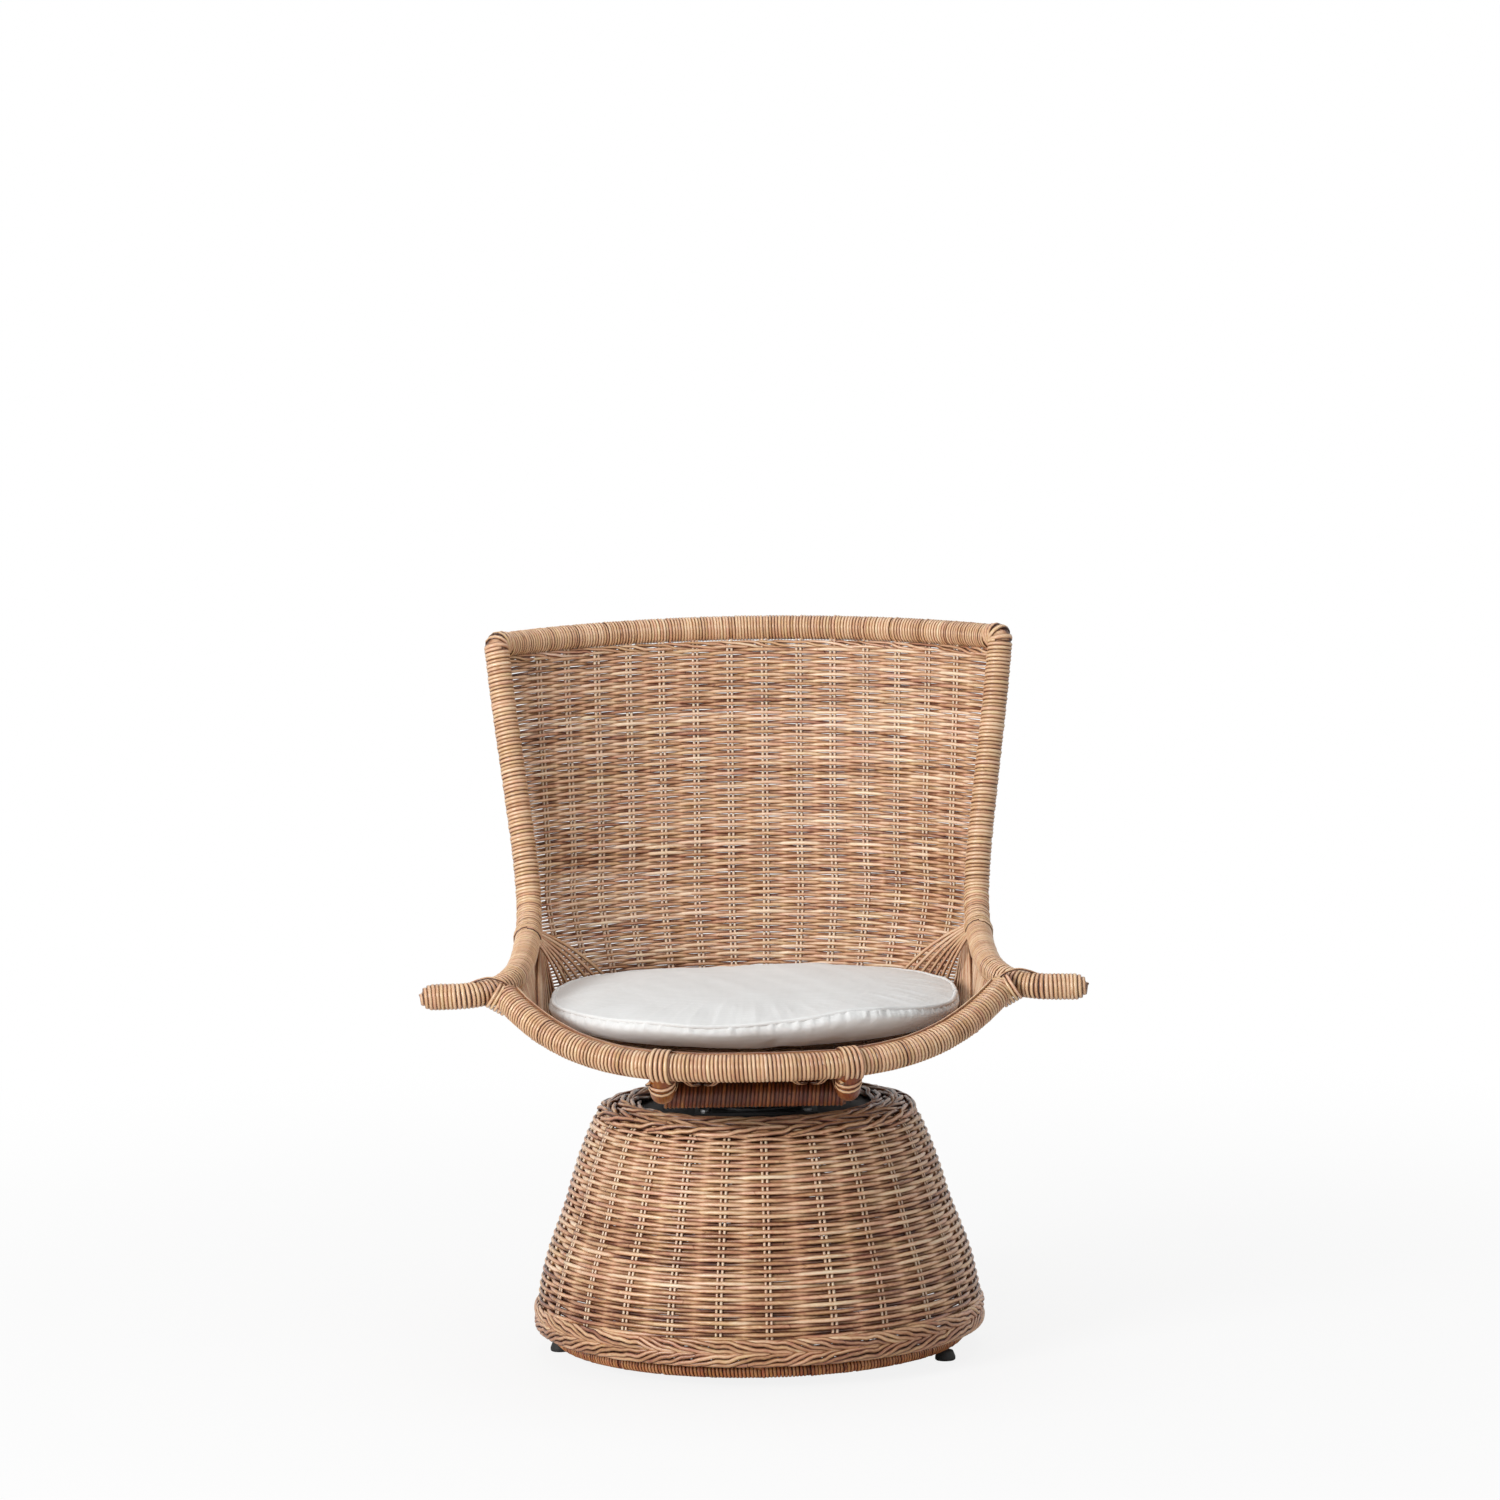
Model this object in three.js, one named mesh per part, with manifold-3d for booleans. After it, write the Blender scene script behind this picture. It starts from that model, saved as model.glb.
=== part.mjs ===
// Swivel lounge chair in woven rattan: a drum base, a ball-bearing swivel, a barrel-backed seat with
// short side arms, and a loose round seat cushion.
// Millimetres, +Z up, the front of the chair faces -Y. Origin: on the floor, on the swivel axis.

import * as THREE from "three";
import { mergeVertices } from "three/addons/utils/BufferGeometryUtils.js";
import Module from "manifold-3d";

// ---------------------------------------------------------------- driving dimensions
const GAP = 0.3; // between pieces that touch
const PAST = 1; // how far a cutting tool runs past the face that it cuts

// Facets
const ROUND_SEGMENTS = 32; // round the drum
const SMALL_SEGMENTS = 16; // round the swivel's turned parts
const GLIDE_SEGMENTS = 12;
const BOLT_SEGMENTS = 8;
const BORE_SIDES = 10;
const PIVOT_BORE_SIDES = 24;
const RACE_SEGMENTS = 20;
const BALL_SEGMENTS = 6;
const BALL_BANDS = 4;
const POLE_SIDES = 8;
const THIN_POLE_SIDES = 6;
const CORD_SIDES = 5;
const ARM_END_BANDS = 6;
// Steps along each pole, and rows and columns of each woven sheet
const RIB_STEPS = 11;
const RIM_STEPS = 26;
const TOP_RAIL_STEPS = 18;
const SEAT_HOOP_STEPS = 28;
const SIDE_POLE_STEPS = 36;
const RUNNER_STEPS = 22;
const LASHING_STEPS = 18; // in one turn
const LASHING_ROOM_STEPS = 4;
const PIPING_STEPS = 48;
const SEAT_RIM_FACETS = 5; // along half of the rim, and half of the hoop
const SEAT_HOOP_FACETS = 8;
const BACK_ROWS = 6;
const WEB_COLUMNS = 7;
const WEB_ROWS = 2;
const CUSHION_FACETS = 36;

// Glides
const GLIDE_HEIGHT = 12;
const GLIDE_FOOT_RADIUS = 12;
const GLIDE_TOP_RADIUS = 9;
const GLIDE_STUD_RADIUS = 3;
const GLIDE_STUD_LENGTH = 12;
const GLIDE_FOOT_HEIGHT = 4;
const GLIDE_EDGE = 1; // the broken edge of its foot
const RIGHT_GLIDE_ANGLE = 24; // degrees in front of the chair's side, for the pair under the ring
const LEFT_GLIDE_ANGLE = 2;
const GLIDE_STRETCHER_Y = 170; // distance of the other pair from the axis, under the stretcher

// Base drum
const RING_RADIUS = 237.5; // floor ring, centre of its pole
const RING_POLE = 8.5;
const STRETCHER_WIDTH = 30;
const WEAVE = 9; // thickness of woven cane over and under its stakes
// Outer outline of the woven drum between its two rings: [share of the way in, share of the way up].
const DRUM_PLAN = [
  [-0.3931, 0.0933], [-0.3379, 0.2076], [-0.2, 0.3676], [0.0897, 0.5848],
  [0.3241, 0.7943], [0.4897, 0.9124], [0.6138, 0.9848], [0.7931, 1.0381],
];
const DRUM_WEAVE_FOOT = 62;
const DRUM_WEAVE_RISE = 4; // the last woven row, above the top ring's middle
const FRONT_STAKES = [-66, -51, -37, -23.5, -10.5, 2.5, 19.5, 34, 49, 66]; // degrees from the front
const STAKE_COUNT = 26; // pairs round the drum; those behind are spread evenly
const BASE_FLUTE = 3; // how far the weave draws in between stakes
const RIB_POLE = 6;
const RIB_COUNT = 8;
const RIB_ROOM = 1.7; // between a rib's middle line and the weave, for the straight facets of both
const RIB_LEAN = 3.5; // how far a rib leans out as it leaves the floor ring
const RIB_FOOT_RISE = 6;
const MID_HOOP_HEIGHT = 150;
const MID_HOOP_POLE = 6;
const TOP_RING_RADIUS = 165;
const TOP_RING_HEIGHT = 283;
const TOP_RING_POLE = 8;
const MOUTH_REACH = 30.5; // how far the top braid reaches inside the top ring's middle
const TOP_BRAID_RISE = 9.5; // above the top ring
const TOP_BRAID_SEAT = 7; // how far it lies on the top ring, outside that ring's middle
const TOP_BRAID_LAP = 7; // how much of the weave's thickness it covers
const BRAID_BULGE = 1.5; // the lower braid, outside the last woven row
const BRAID_ROUND = 8;
const BRAID_FOOT_INSET = 5;
const BRAID_ROOM = 1; // between the lower braid and the ribs
const MOUTH_ROUND = 7; // how far the top braid rolls down at the mouth
// Where the top braid bends, as [radius, height] steps from the corners that it passes.
const MOUTH_SHOULDER = [[-4, 7], [6, -4], [-10, 0], [7, -1.5]];

// Deck inside the drum's mouth
const DECK_INSET = 17; // its edge, inside the top ring's middle
const DECK_THICKNESS = 14;
const DECK_BAR_INSET = 5; // its ends, inside the top ring's middle
const DECK_BAR_WIDTH = 32;
const DECK_BAR_HEIGHT = 18;
const DECK_BAR_Y = 60;

// Swivel
const PLATE_SIDE = 144;
const PLATE_THICKNESS = 3;
const RACE_RADIUS = 50; // ball circle
const RACE_WIDTH = 12;
const RACE_HEIGHT = 1.8;
const RACE_ROOT = 1; // how deep the race reaches into its plate, and stays from the far face
const BALL_RADIUS = 3;
const BALL_COUNT = 12;
const CAGE_THICKNESS = 1.4;
const CAGE_MARGIN = 1; // wider than the race
const PIVOT_RADIUS = 7;
const PIVOT_FLANGE_RADIUS = 12;
const PIVOT_FLANGE_THICKNESS = 2.6;
const PIVOT_WELL_ROOM = 3; // round its flange, in the deck
const BOLT_RADIUS = 3;
const BOLT_HEAD_RADIUS = 5.5;
const BOLT_HEAD_HEIGHT = 3;
const BOLT_X = 60;
const LOWER_BOLT_BITE = 10; // how far the bolts reach into the deck bars and the bearers
const UPPER_BOLT_BITE = 16;

// Seat under-frame
const BEARER_Y = 55;
const BEARER_HALF_LENGTH = 120;
const BEARER_WIDTH = 34;
const BEARER_HEIGHT = 32.4;
const RUNNER_X = 105;
const RUNNER_POLE = 14;
const RUNNER_BEND = 34;
const CROSS_RAIL_POLE = 15.5;
const CROSS_RAIL_DROP = 16.5; // below the runners, middle to middle
const CROSS_RAIL_FRONT_Y = -205;
const CROSS_RAIL_REAR_Y = 110;
const SEAT_RIB_POLE = 5.5;
// Poles across the runners under the woven seat: [y, half length]; none runs past the seat's edge.
const SEAT_RIBS = [[-235, 128], [-130, 195], [-20, 236], [90, 300]];

// Seat: its heights are above the seat level, the middle of the woven seat at its lowest place.
const RIM_POLE = 16;
const RIM_HALF_SPAN = 287.5; // its ends, which meet the arms
const RIM_BOW = 159.4; // how far its middle lies in front of its ends
const RIM_FRONT_HEIGHT = 2;
const RIM_RISE = 65.7; // how far the rim climbs from its middle to its ends
const RIM_TURN_UP = 4; // how late it climbs: the power of its share of the half span
const RIM_SETTING = 15.9; // its ends, in front of the arm's bend
const HOOP_POLE = 11;
const SEAT_CENTRE_Y = -60;
const SEAT_SHARES = [0.45, 0.7, 0.88, 1]; // where the dished seat bends, as shares of the way out
const SEAT_DISH = 4; // how late it turns up: the power of that share

// Side poles: from the top corner down the back, forward as the seat's side rail, out as the arm.
const SIDE_POLE = 15.5;
const WAIST = [268.5, 93, 139]; // where the back's edge leaves the pole
const ARM_BEND = [297, -155, 72]; // where the arm turns outwards
const SIDE_POLE_PLAN = [
  [307, 183, 461], [297, 163, 374], [284, 138, 279], [272, 111, 185], WAIST, [268, 55, 113],
  [269, 5, 99], [272, -60, 88], [279, -115, 80], ARM_BEND, [327, -172, 68], [368, -175, 67],
];
const CORNER = [232, 86, 1]; // where the back, the side web and the seat hoop meet
const HOOP_PLAN = [
  [0, 204, 0], [120, 181, 0], [190, 138, 0], CORNER, [250, 22, 3], [254, -60, 8],
  [250, -130, 17], [247, -185, 28], [247, -222, 37],
];

// Back
const TOP_RAIL_POLE = 15.5;
const TOP_RAIL_BOW = 141.6; // how far its middle lies behind its ends
const TOP_RAIL_SETTING = 6; // its ends, behind the middle of the side poles
const TOP_RAIL_CROWN = 6.5; // how much lower its ends are
const BACK_STAKES = 14; // pairs across the back
const STAKE_SPACING = [0.1236, 0.137]; // at its top and its foot, as shares of half the back's width
const BACK_FLUTE = 2.6; // how far each face of the weave draws in between stakes
const BACK_ROOM = 0.001; // how much farther out its clearance runs than the back, as a share of its width
const SIDE_WEB_THICKNESS = 5;
const WEB_TOP_SPAN = 5; // how many points of the side pole's route a web hangs from, below the waist
const WEB_FOOT_SHARE = 0.8; // the share of the hoop's side that it reaches

// Lashing of each runner to the rim
const LASHING_CANE = 2.3;
const LASHING_PITCH = 5.5;
const LASHING_TURNS = 4;
const LASHING_MARGIN = 1.5; // turns of room past each end of the coil

// Cushion
const CUSHION_HALF_WIDTH = 242;
const CUSHION_FRONT_Y = -295;
const CUSHION_REAR_Y = 172;
const CUSHION_SQUARENESS = 2.65; // 2 is an ellipse, more is squarer
const CUSHION_SEAM_FRONT = 46;
const CUSHION_SEAM_SIDE = 49;
const CUSHION_CROWN = 66;
const CUSHION_FULLNESS = 3; // how far out it stays full
const CUSHION_SHOULDER = 0.62; // less is steeper near the seam
const CUSHION_TOP_SHARES = [0.4, 0.7, 0.88, 0.97]; // where its cover bends, as shares of the way out
const CUSHION_FOOT_SHARES = [0.95, 0.84, 0.7, 0.4];
const PIPING_RADIUS = 2.5;
const PIPING_PARTING = 1; // of each of its two ends from the middle of the rear

// ---------------------------------------------------------------- solids and booleans
const wasm = await Module();
wasm.setup();

/** A closed geometry as a solid that can be cut and joined. */
function solidOf(geometry) {
  const bare = geometry.clone();
  bare.deleteAttribute("normal");
  bare.deleteAttribute("uv");
  const merged = mergeVertices(bare, 1e-3);
  return new wasm.Manifold(
    new wasm.Mesh({
      numProp: 3,
      vertProperties: merged.attributes.position.array,
      triVerts: new Uint32Array(merged.index.array),
    }),
  );
}

/** A solid's faces as a flat-shaded geometry. */
function geometryOf(solid) {
  const mesh = solid.getMesh();
  const positions = new Float32Array(mesh.numVert * 3);
  for (let i = 0; i < mesh.numVert; i++) {
    positions.set(mesh.vertProperties.subarray(i * mesh.numProp, i * mesh.numProp + 3), i * 3);
  }
  const indexed = new THREE.BufferGeometry();
  indexed.setAttribute("position", new THREE.BufferAttribute(positions, 3));
  indexed.setIndex(new THREE.BufferAttribute(mesh.triVerts, 1));
  const flat = indexed.toNonIndexed();
  flat.computeVertexNormals();
  return flat;
}

/** Flat-shaded triangles between points. */
function faceted(positions, faces) {
  const geometry = new THREE.BufferGeometry();
  geometry.setAttribute("position", new THREE.Float32BufferAttribute(positions, 3));
  geometry.setIndex(faces);
  const flat = geometry.toNonIndexed();
  flat.computeVertexNormals();
  return flat;
}

/** The geometry with each tool taken out of it. */
function cut(geometry, ...tools) {
  return geometryOf(tools.reduce((solid, tool) => solid.subtract(solidOf(tool)), solidOf(geometry)));
}

/** Several geometries joined into one body. */
function fuse(first, ...rest) {
  return geometryOf(rest.reduce((solid, piece) => solid.add(solidOf(piece)), solidOf(first)));
}

// ---------------------------------------------------------------- shapes
/** An upright cylinder between two heights, centred on (x, y). */
function upright(radius, bottom, top, x = 0, y = 0, sides = BORE_SIDES) {
  const body = new THREE.CylinderGeometry(radius, radius, top - bottom, sides);
  return body.rotateX(Math.PI / 2).translate(x, y, (bottom + top) / 2);
}

/** A box from its lowest to its highest corner. */
function block(low, high) {
  const size = high.map((value, axis) => value - low[axis]);
  return new THREE.BoxGeometry(...size).translate(...low.map((value, axis) => value + size[axis] / 2));
}

/** A profile of [radius, height] points turned about the swivel axis; closed profiles run anticlockwise. */
function turned(profile, segments = ROUND_SEGMENTS) {
  const points = profile.map(([radius, height]) => new THREE.Vector2(radius, height));
  return new THREE.LatheGeometry(points, segments).rotateX(Math.PI / 2);
}

/** A closed profile of [radius, height] points turned into a ring. */
function turnedRing(profile, segments = ROUND_SEGMENTS) {
  return turned([...profile, profile[0]], segments);
}

/** A ring of [degrees from the front, closed profile] sections, whose profiles run anticlockwise. */
function ringOfSections(sections) {
  const count = sections[0][1].length;
  const positions = sections.flatMap(([degrees, profile]) => {
    const angle = THREE.MathUtils.degToRad(degrees);
    return profile.flatMap(([radius, z]) => [radius * Math.sin(angle), -radius * Math.cos(angle), z]);
  });
  const at = (section, i) => (section % sections.length) * count + (i % count);
  const faces = sections.flatMap((_, section) => sections[0][1].flatMap((_, i) => [
    at(section, i), at(section + 1, i), at(section + 1, i + 1),
    at(section, i), at(section + 1, i + 1), at(section, i + 1),
  ]));
  return faceted(positions, faces);
}

/** A hoop of round pole, level, round the swivel axis. */
function hoop(radius, pole, height, sides = POLE_SIDES) {
  return new THREE.TorusGeometry(radius, pole, sides, ROUND_SEGMENTS).translate(0, 0, height);
}

/** A round pole along a curve. */
function pole(curve, radius, steps, sides = POLE_SIDES) {
  const section = new THREE.Shape();
  for (let i = 0; i < sides; i++) {
    const angle = (2 * Math.PI * i) / sides;
    section[i ? "lineTo" : "moveTo"](radius * Math.cos(angle), radius * Math.sin(angle));
  }
  return new THREE.ExtrudeGeometry(section, { steps, extrudePath: curve, bevelEnabled: false });
}

/** A smooth curve through [x, y, z] points. */
function through(points) {
  return new THREE.CatmullRomCurve3(points.map((point) => new THREE.Vector3(...point)), false, "centripetal");
}

/** [x, y, z] points seen in the mirror of the chair's middle plane. */
function mirrored(points) {
  return points.map(([x, y, z]) => [-x, y, z]);
}

/** Value of a piecewise straight outline, given as [value, height] pairs, at a height. */
function outlineAt(outline, height) {
  const upper = Math.max(1, outline.findIndex(([, z]) => z >= height));
  const [r0, z0] = outline[upper - 1];
  const [r1, z1] = outline[upper];
  return r0 + ((r1 - r0) * (height - z0)) / (z1 - z0);
}

/** A closed skin over rings of points, from a first pole to a last; rings run anticlockwise from above. */
function skin(first, rings, last) {
  const count = rings[0].length;
  const positions = [first, ...rings.flat(), last].flatMap((point) => [point.x, point.y, point.z]);
  const faces = [];
  const at = (ring, i) => 1 + ring * count + (i % count);
  for (let i = 0; i < count; i++) {
    faces.push(0, at(0, i), at(0, i + 1));
    for (let ring = 1; ring < rings.length; ring++) {
      faces.push(at(ring - 1, i), at(ring, i), at(ring, i + 1));
      faces.push(at(ring - 1, i), at(ring, i + 1), at(ring - 1, i + 1));
    }
    faces.push(at(rings.length - 1, i), 1 + rings.length * count, at(rings.length - 1, i + 1));
  }
  return faceted(positions, faces);
}

/** A sheet over a surface of (u, v), each from 0 to 1; its thickness and its columns' places may vary. */
function sheet(surface, columns, rows, thicknessAt, placeAt = (column) => column / columns) {
  const step = 1e-3;
  const normalAt = (u, v) => {
    const alongU = surface(Math.min(1, u + step), v).sub(surface(Math.max(0, u - step), v));
    const alongV = surface(u, Math.min(1, v + step)).sub(surface(u, Math.max(0, v - step)));
    return alongU.cross(alongV).normalize();
  };
  const positions = [];
  for (const side of [1, -1]) {
    for (let row = 0; row <= rows; row++) {
      for (let column = 0; column <= columns; column++) {
        const v = row / rows;
        const u = placeAt(column, v);
        const point = surface(u, v).addScaledVector(normalAt(u, v), (side * thicknessAt(column)) / 2);
        positions.push(point.x, point.y, point.z);
      }
    }
  }
  const faces = [];
  const layer = (rows + 1) * (columns + 1);
  const at = (side, row, column) => side * layer + row * (columns + 1) + column;
  const quad = (a, b, c, d) => faces.push(a, b, c, a, c, d);
  for (let row = 0; row < rows; row++) {
    for (let column = 0; column < columns; column++) {
      quad(at(0, row, column), at(0, row, column + 1), at(0, row + 1, column + 1), at(0, row + 1, column));
      quad(at(1, row, column), at(1, row + 1, column), at(1, row + 1, column + 1), at(1, row, column + 1));
    }
    quad(at(0, row, 0), at(0, row + 1, 0), at(1, row + 1, 0), at(1, row, 0));
    quad(at(0, row + 1, columns), at(0, row, columns), at(1, row, columns), at(1, row + 1, columns));
  }
  for (let column = 0; column < columns; column++) {
    quad(at(0, 0, column + 1), at(0, 0, column), at(1, 0, column), at(1, 0, column + 1));
    quad(at(0, rows, column), at(0, rows, column + 1), at(1, rows, column + 1), at(1, rows, column));
  }
  return faceted(positions, faces);
}

// ---------------------------------------------------------------- materials and the scene graph
const material = (color, roughness, metalness = 0) =>
  new THREE.MeshStandardMaterial({ color, roughness, metalness });
const RATTAN = 0xc79a68;
const DARK_RATTAN = 0x8f6237;
const PALE_RATTAN = 0xd8ae78;
const BLACK = 0x1b1a19;
const STEEL = 0x8d8f92;
const LINEN = 0xe4e1da;

const chair = new THREE.Group();
const base = new THREE.Group();
const seat = new THREE.Group();
chair.add(base, seat);

/** Adds a named piece to a group. */
function add(group, name, geometry, color, roughness = 0.6, metalness = 0) {
  const mesh = new THREE.Mesh(geometry, material(color, roughness, metalness));
  mesh.name = name;
  group.add(mesh);
  return mesh;
}

// ---------------------------------------------------------------- base: glides, ring and stretcher
const ringHeight = GLIDE_HEIGHT + RING_POLE;
const glideSeat = GLIDE_HEIGHT - GAP;
const onRing = (side, degrees) => {
  const angle = THREE.MathUtils.degToRad(degrees);
  return [side * RING_RADIUS * Math.cos(angle), -RING_RADIUS * Math.sin(angle)];
};
const GLIDES = [
  ["glide_left", ...onRing(-1, LEFT_GLIDE_ANGLE)],
  ["glide_right", ...onRing(1, RIGHT_GLIDE_ANGLE)],
  ["glide_front", 0, -GLIDE_STRETCHER_Y],
  ["glide_rear", 0, GLIDE_STRETCHER_Y],
];
const glideProfile = [
  [0, 0], [GLIDE_FOOT_RADIUS - GLIDE_EDGE, 0], [GLIDE_FOOT_RADIUS, GLIDE_EDGE],
  [GLIDE_FOOT_RADIUS, GLIDE_FOOT_HEIGHT],
  [GLIDE_TOP_RADIUS, glideSeat],
  [GLIDE_STUD_RADIUS, glideSeat], [GLIDE_STUD_RADIUS, glideSeat + GLIDE_STUD_LENGTH],
  [0, glideSeat + GLIDE_STUD_LENGTH],
];
for (const [name, x, y] of GLIDES) {
  add(base, name, turned(glideProfile, GLIDE_SEGMENTS), BLACK, 0.5).position.set(x, y, 0);
}
const studBores = GLIDES.map(([, x, y]) =>
  upright(GLIDE_STUD_RADIUS + GAP, 0, glideSeat + GLIDE_STUD_LENGTH + PAST, x, y));

add(base, "base_bottom_ring", cut(hoop(RING_RADIUS, RING_POLE, ringHeight), ...studBores), DARK_RATTAN);
const ringClearance = hoop(RING_RADIUS, RING_POLE + GAP, ringHeight);
const stretcherReach = RING_RADIUS - RING_POLE / 2; // its ends are hollowed to fit the ring
const stretcher = block(
  [-STRETCHER_WIDTH / 2, -stretcherReach, GLIDE_HEIGHT],
  [STRETCHER_WIDTH / 2, stretcherReach, ringHeight + RING_POLE / 2],
);
add(base, "base_stretcher", cut(stretcher, ringClearance, ...studBores), DARK_RATTAN);

// ---------------------------------------------------------------- base: woven drum
const drumOutline = DRUM_PLAN.map(([inwards, up]) => [
  THREE.MathUtils.lerp(RING_RADIUS, TOP_RING_RADIUS, inwards),
  THREE.MathUtils.lerp(ringHeight, TOP_RING_HEIGHT, up),
]);
const weaveTop = TOP_RING_HEIGHT + DRUM_WEAVE_RISE;
const wovenHeights = drumOutline.map(([, z]) => z).filter((z) => z > DRUM_WEAVE_FOOT && z < weaveTop);
const drumHeights = [DRUM_WEAVE_FOOT, ...wovenHeights, weaveTop];
const drumOuter = drumHeights.map((z) => [outlineAt(drumOutline, z), z]);
const drumInner = drumOuter.map(([radius, z]) => [radius - WEAVE, z]).reverse();
const rearGap = (360 - FRONT_STAKES.at(-1) + FRONT_STAKES[0]) / (STAKE_COUNT - FRONT_STAKES.length + 1);
const stakeAngles = Array.from({ length: STAKE_COUNT + 1 }, (_, i) =>
  FRONT_STAKES[i] ?? FRONT_STAKES.at(-1) + rearGap * (i + 1 - FRONT_STAKES.length));
const drawnIn = drumOuter.map(([radius, z]) => [radius - BASE_FLUTE, z]);
const wall = stakeAngles.slice(0, -1).flatMap((angle, i) => [
  [angle, [...drumOuter, ...drumInner]],
  [(angle + stakeAngles[i + 1]) / 2, [...drawnIn, ...drumInner]],
]);
add(base, "base_weave", ringOfSections(wall), RATTAN, 0.7);

const ribInset = WEAVE + RIB_POLE + RIB_ROOM;
const ribFootRadius = RING_RADIUS + RIB_LEAN;
const ribRoute = [
  [RING_RADIUS, ringHeight],
  [ribFootRadius, ringHeight + RING_POLE + RIB_FOOT_RISE],
  ...drumOuter.slice(0, -2).map(([radius, z]) => [radius - ribInset, z]),
  [TOP_RING_RADIUS, TOP_RING_HEIGHT],
];
const topRingClearance = hoop(TOP_RING_RADIUS, TOP_RING_POLE + GAP, TOP_RING_HEIGHT);
for (let i = 0; i < RIB_COUNT; i++) {
  const angle = (2 * Math.PI * i) / RIB_COUNT;
  const route = ribRoute.map(([radius, z]) => [radius * Math.cos(angle), radius * Math.sin(angle), z]);
  const rib = pole(through(route), RIB_POLE, RIB_STEPS, THIN_POLE_SIDES);
  add(base, `base_rib_${i + 1}`, cut(rib, ringClearance, topRingClearance), DARK_RATTAN);
}

// The chevron border: outside the ribs' feet, from the floor ring up to the first woven row.
const braidFoot = ringHeight + RING_POLE + GAP;
const braidTop = DRUM_WEAVE_FOOT - GAP;
const braidOuter = outlineAt(drumOutline, DRUM_WEAVE_FOOT);
add(base, "base_lower_braid", turnedRing([
  [ribFootRadius + RIB_POLE + BRAID_ROOM, braidFoot], [braidOuter - BRAID_FOOT_INSET, braidFoot],
  [braidOuter + BRAID_BULGE, braidFoot + BRAID_ROUND], [braidOuter + BRAID_BULGE, braidTop - BRAID_ROUND],
  [braidOuter, braidTop], [braidOuter - WEAVE, braidTop], [braidOuter - WEAVE, braidTop - RIB_POLE],
]), RATTAN, 0.7);

const hoopRadius = outlineAt(drumOutline, MID_HOOP_HEIGHT) - ribInset - RIB_POLE - MID_HOOP_POLE - GAP;
add(base, "base_mid_hoop", hoop(hoopRadius, MID_HOOP_POLE, MID_HOOP_HEIGHT, THIN_POLE_SIDES), DARK_RATTAN);
add(base, "base_top_ring", hoop(TOP_RING_RADIUS, TOP_RING_POLE, TOP_RING_HEIGHT), DARK_RATTAN);

// The roped border rolls over the top ring from the last woven row to the mouth of the drum.
const topRingCrest = TOP_RING_HEIGHT + TOP_RING_POLE;
const braidCrest = topRingCrest + TOP_BRAID_RISE;
const mouthOuter = outlineAt(drumOutline, weaveTop);
const openingRadius = TOP_RING_RADIUS - MOUTH_REACH;
const overRing = [TOP_RING_RADIUS, braidCrest];
const shoulders = [[mouthOuter, weaveTop], overRing, overRing, [openingRadius, braidCrest]]
  .map(([radius, z], i) => [radius + MOUTH_SHOULDER[i][0], z + MOUTH_SHOULDER[i][1]]);
add(base, "base_top_braid", turnedRing([
  [openingRadius, braidCrest - MOUTH_ROUND], [openingRadius + MOUTH_ROUND / 2, topRingCrest + GAP],
  [TOP_RING_RADIUS + TOP_BRAID_SEAT, topRingCrest + GAP], [mouthOuter - TOP_BRAID_LAP, weaveTop + GAP],
  [mouthOuter, weaveTop + GAP], ...shoulders,
]), RATTAN, 0.7);

// ---------------------------------------------------------------- base: deck and lower half of the swivel
const barTop = TOP_RING_HEIGHT - TOP_RING_POLE - GAP;
const deckBottom = barTop + GAP;
const deckTop = deckBottom + DECK_THICKNESS;
const lowerPlateBottom = deckTop + GAP;
const lowerPlateTop = lowerPlateBottom + PLATE_THICKNESS;
const boltHeadBottom = lowerPlateTop + GAP;
const lowerBoltTip = barTop - LOWER_BOLT_BITE;
const boltPlaces = [[BOLT_X, 1], [-BOLT_X, 1], [-BOLT_X, -1], [BOLT_X, -1]];
const lowerBores = boltPlaces.map(([x, side]) =>
  upright(BOLT_RADIUS + GAP, lowerBoltTip - PAST, lowerPlateTop + PAST, x, side * DECK_BAR_Y));

for (const [name, y] of [["deck_bar_front", -DECK_BAR_Y], ["deck_bar_rear", DECK_BAR_Y]]) {
  const bar = block(
    [DECK_BAR_INSET - TOP_RING_RADIUS, y - DECK_BAR_WIDTH / 2, barTop - DECK_BAR_HEIGHT],
    [TOP_RING_RADIUS - DECK_BAR_INSET, y + DECK_BAR_WIDTH / 2, barTop],
  );
  add(base, name, cut(bar, ...lowerBores), DARK_RATTAN);
}
const pivotWell = upright(PIVOT_FLANGE_RADIUS + PIVOT_WELL_ROOM, deckBottom - PAST, deckTop + PAST);
const deck = upright(TOP_RING_RADIUS - DECK_INSET, deckBottom, deckTop, 0, 0, ROUND_SEGMENTS);
add(base, "deck_board", cut(deck, pivotWell, ...lowerBores), BLACK, 0.8);

/** A square plate with a raised ball race on one side and holes for the pivot and its bolts. */
function swivelPlate(bottom, raceBottom, bores) {
  const half = PLATE_SIDE / 2;
  const plate = block([-half, -half, bottom], [half, half, bottom + PLATE_THICKNESS]);
  const inner = RACE_RADIUS - RACE_WIDTH / 2;
  const outer = RACE_RADIUS + RACE_WIDTH / 2;
  const top = bottom + PLATE_THICKNESS;
  const low = Math.min(raceBottom, bottom + RACE_ROOT);
  const high = Math.max(raceBottom + RACE_HEIGHT, top - RACE_ROOT);
  const race = turnedRing([[inner, low], [outer, low], [outer, high], [inner, high]], RACE_SEGMENTS);
  const pivotHole = upright(PIVOT_RADIUS + GAP, bottom - PAST, top + PAST, 0, 0, PIVOT_BORE_SIDES);
  return cut(fuse(plate, race), pivotHole, ...bores);
}

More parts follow.
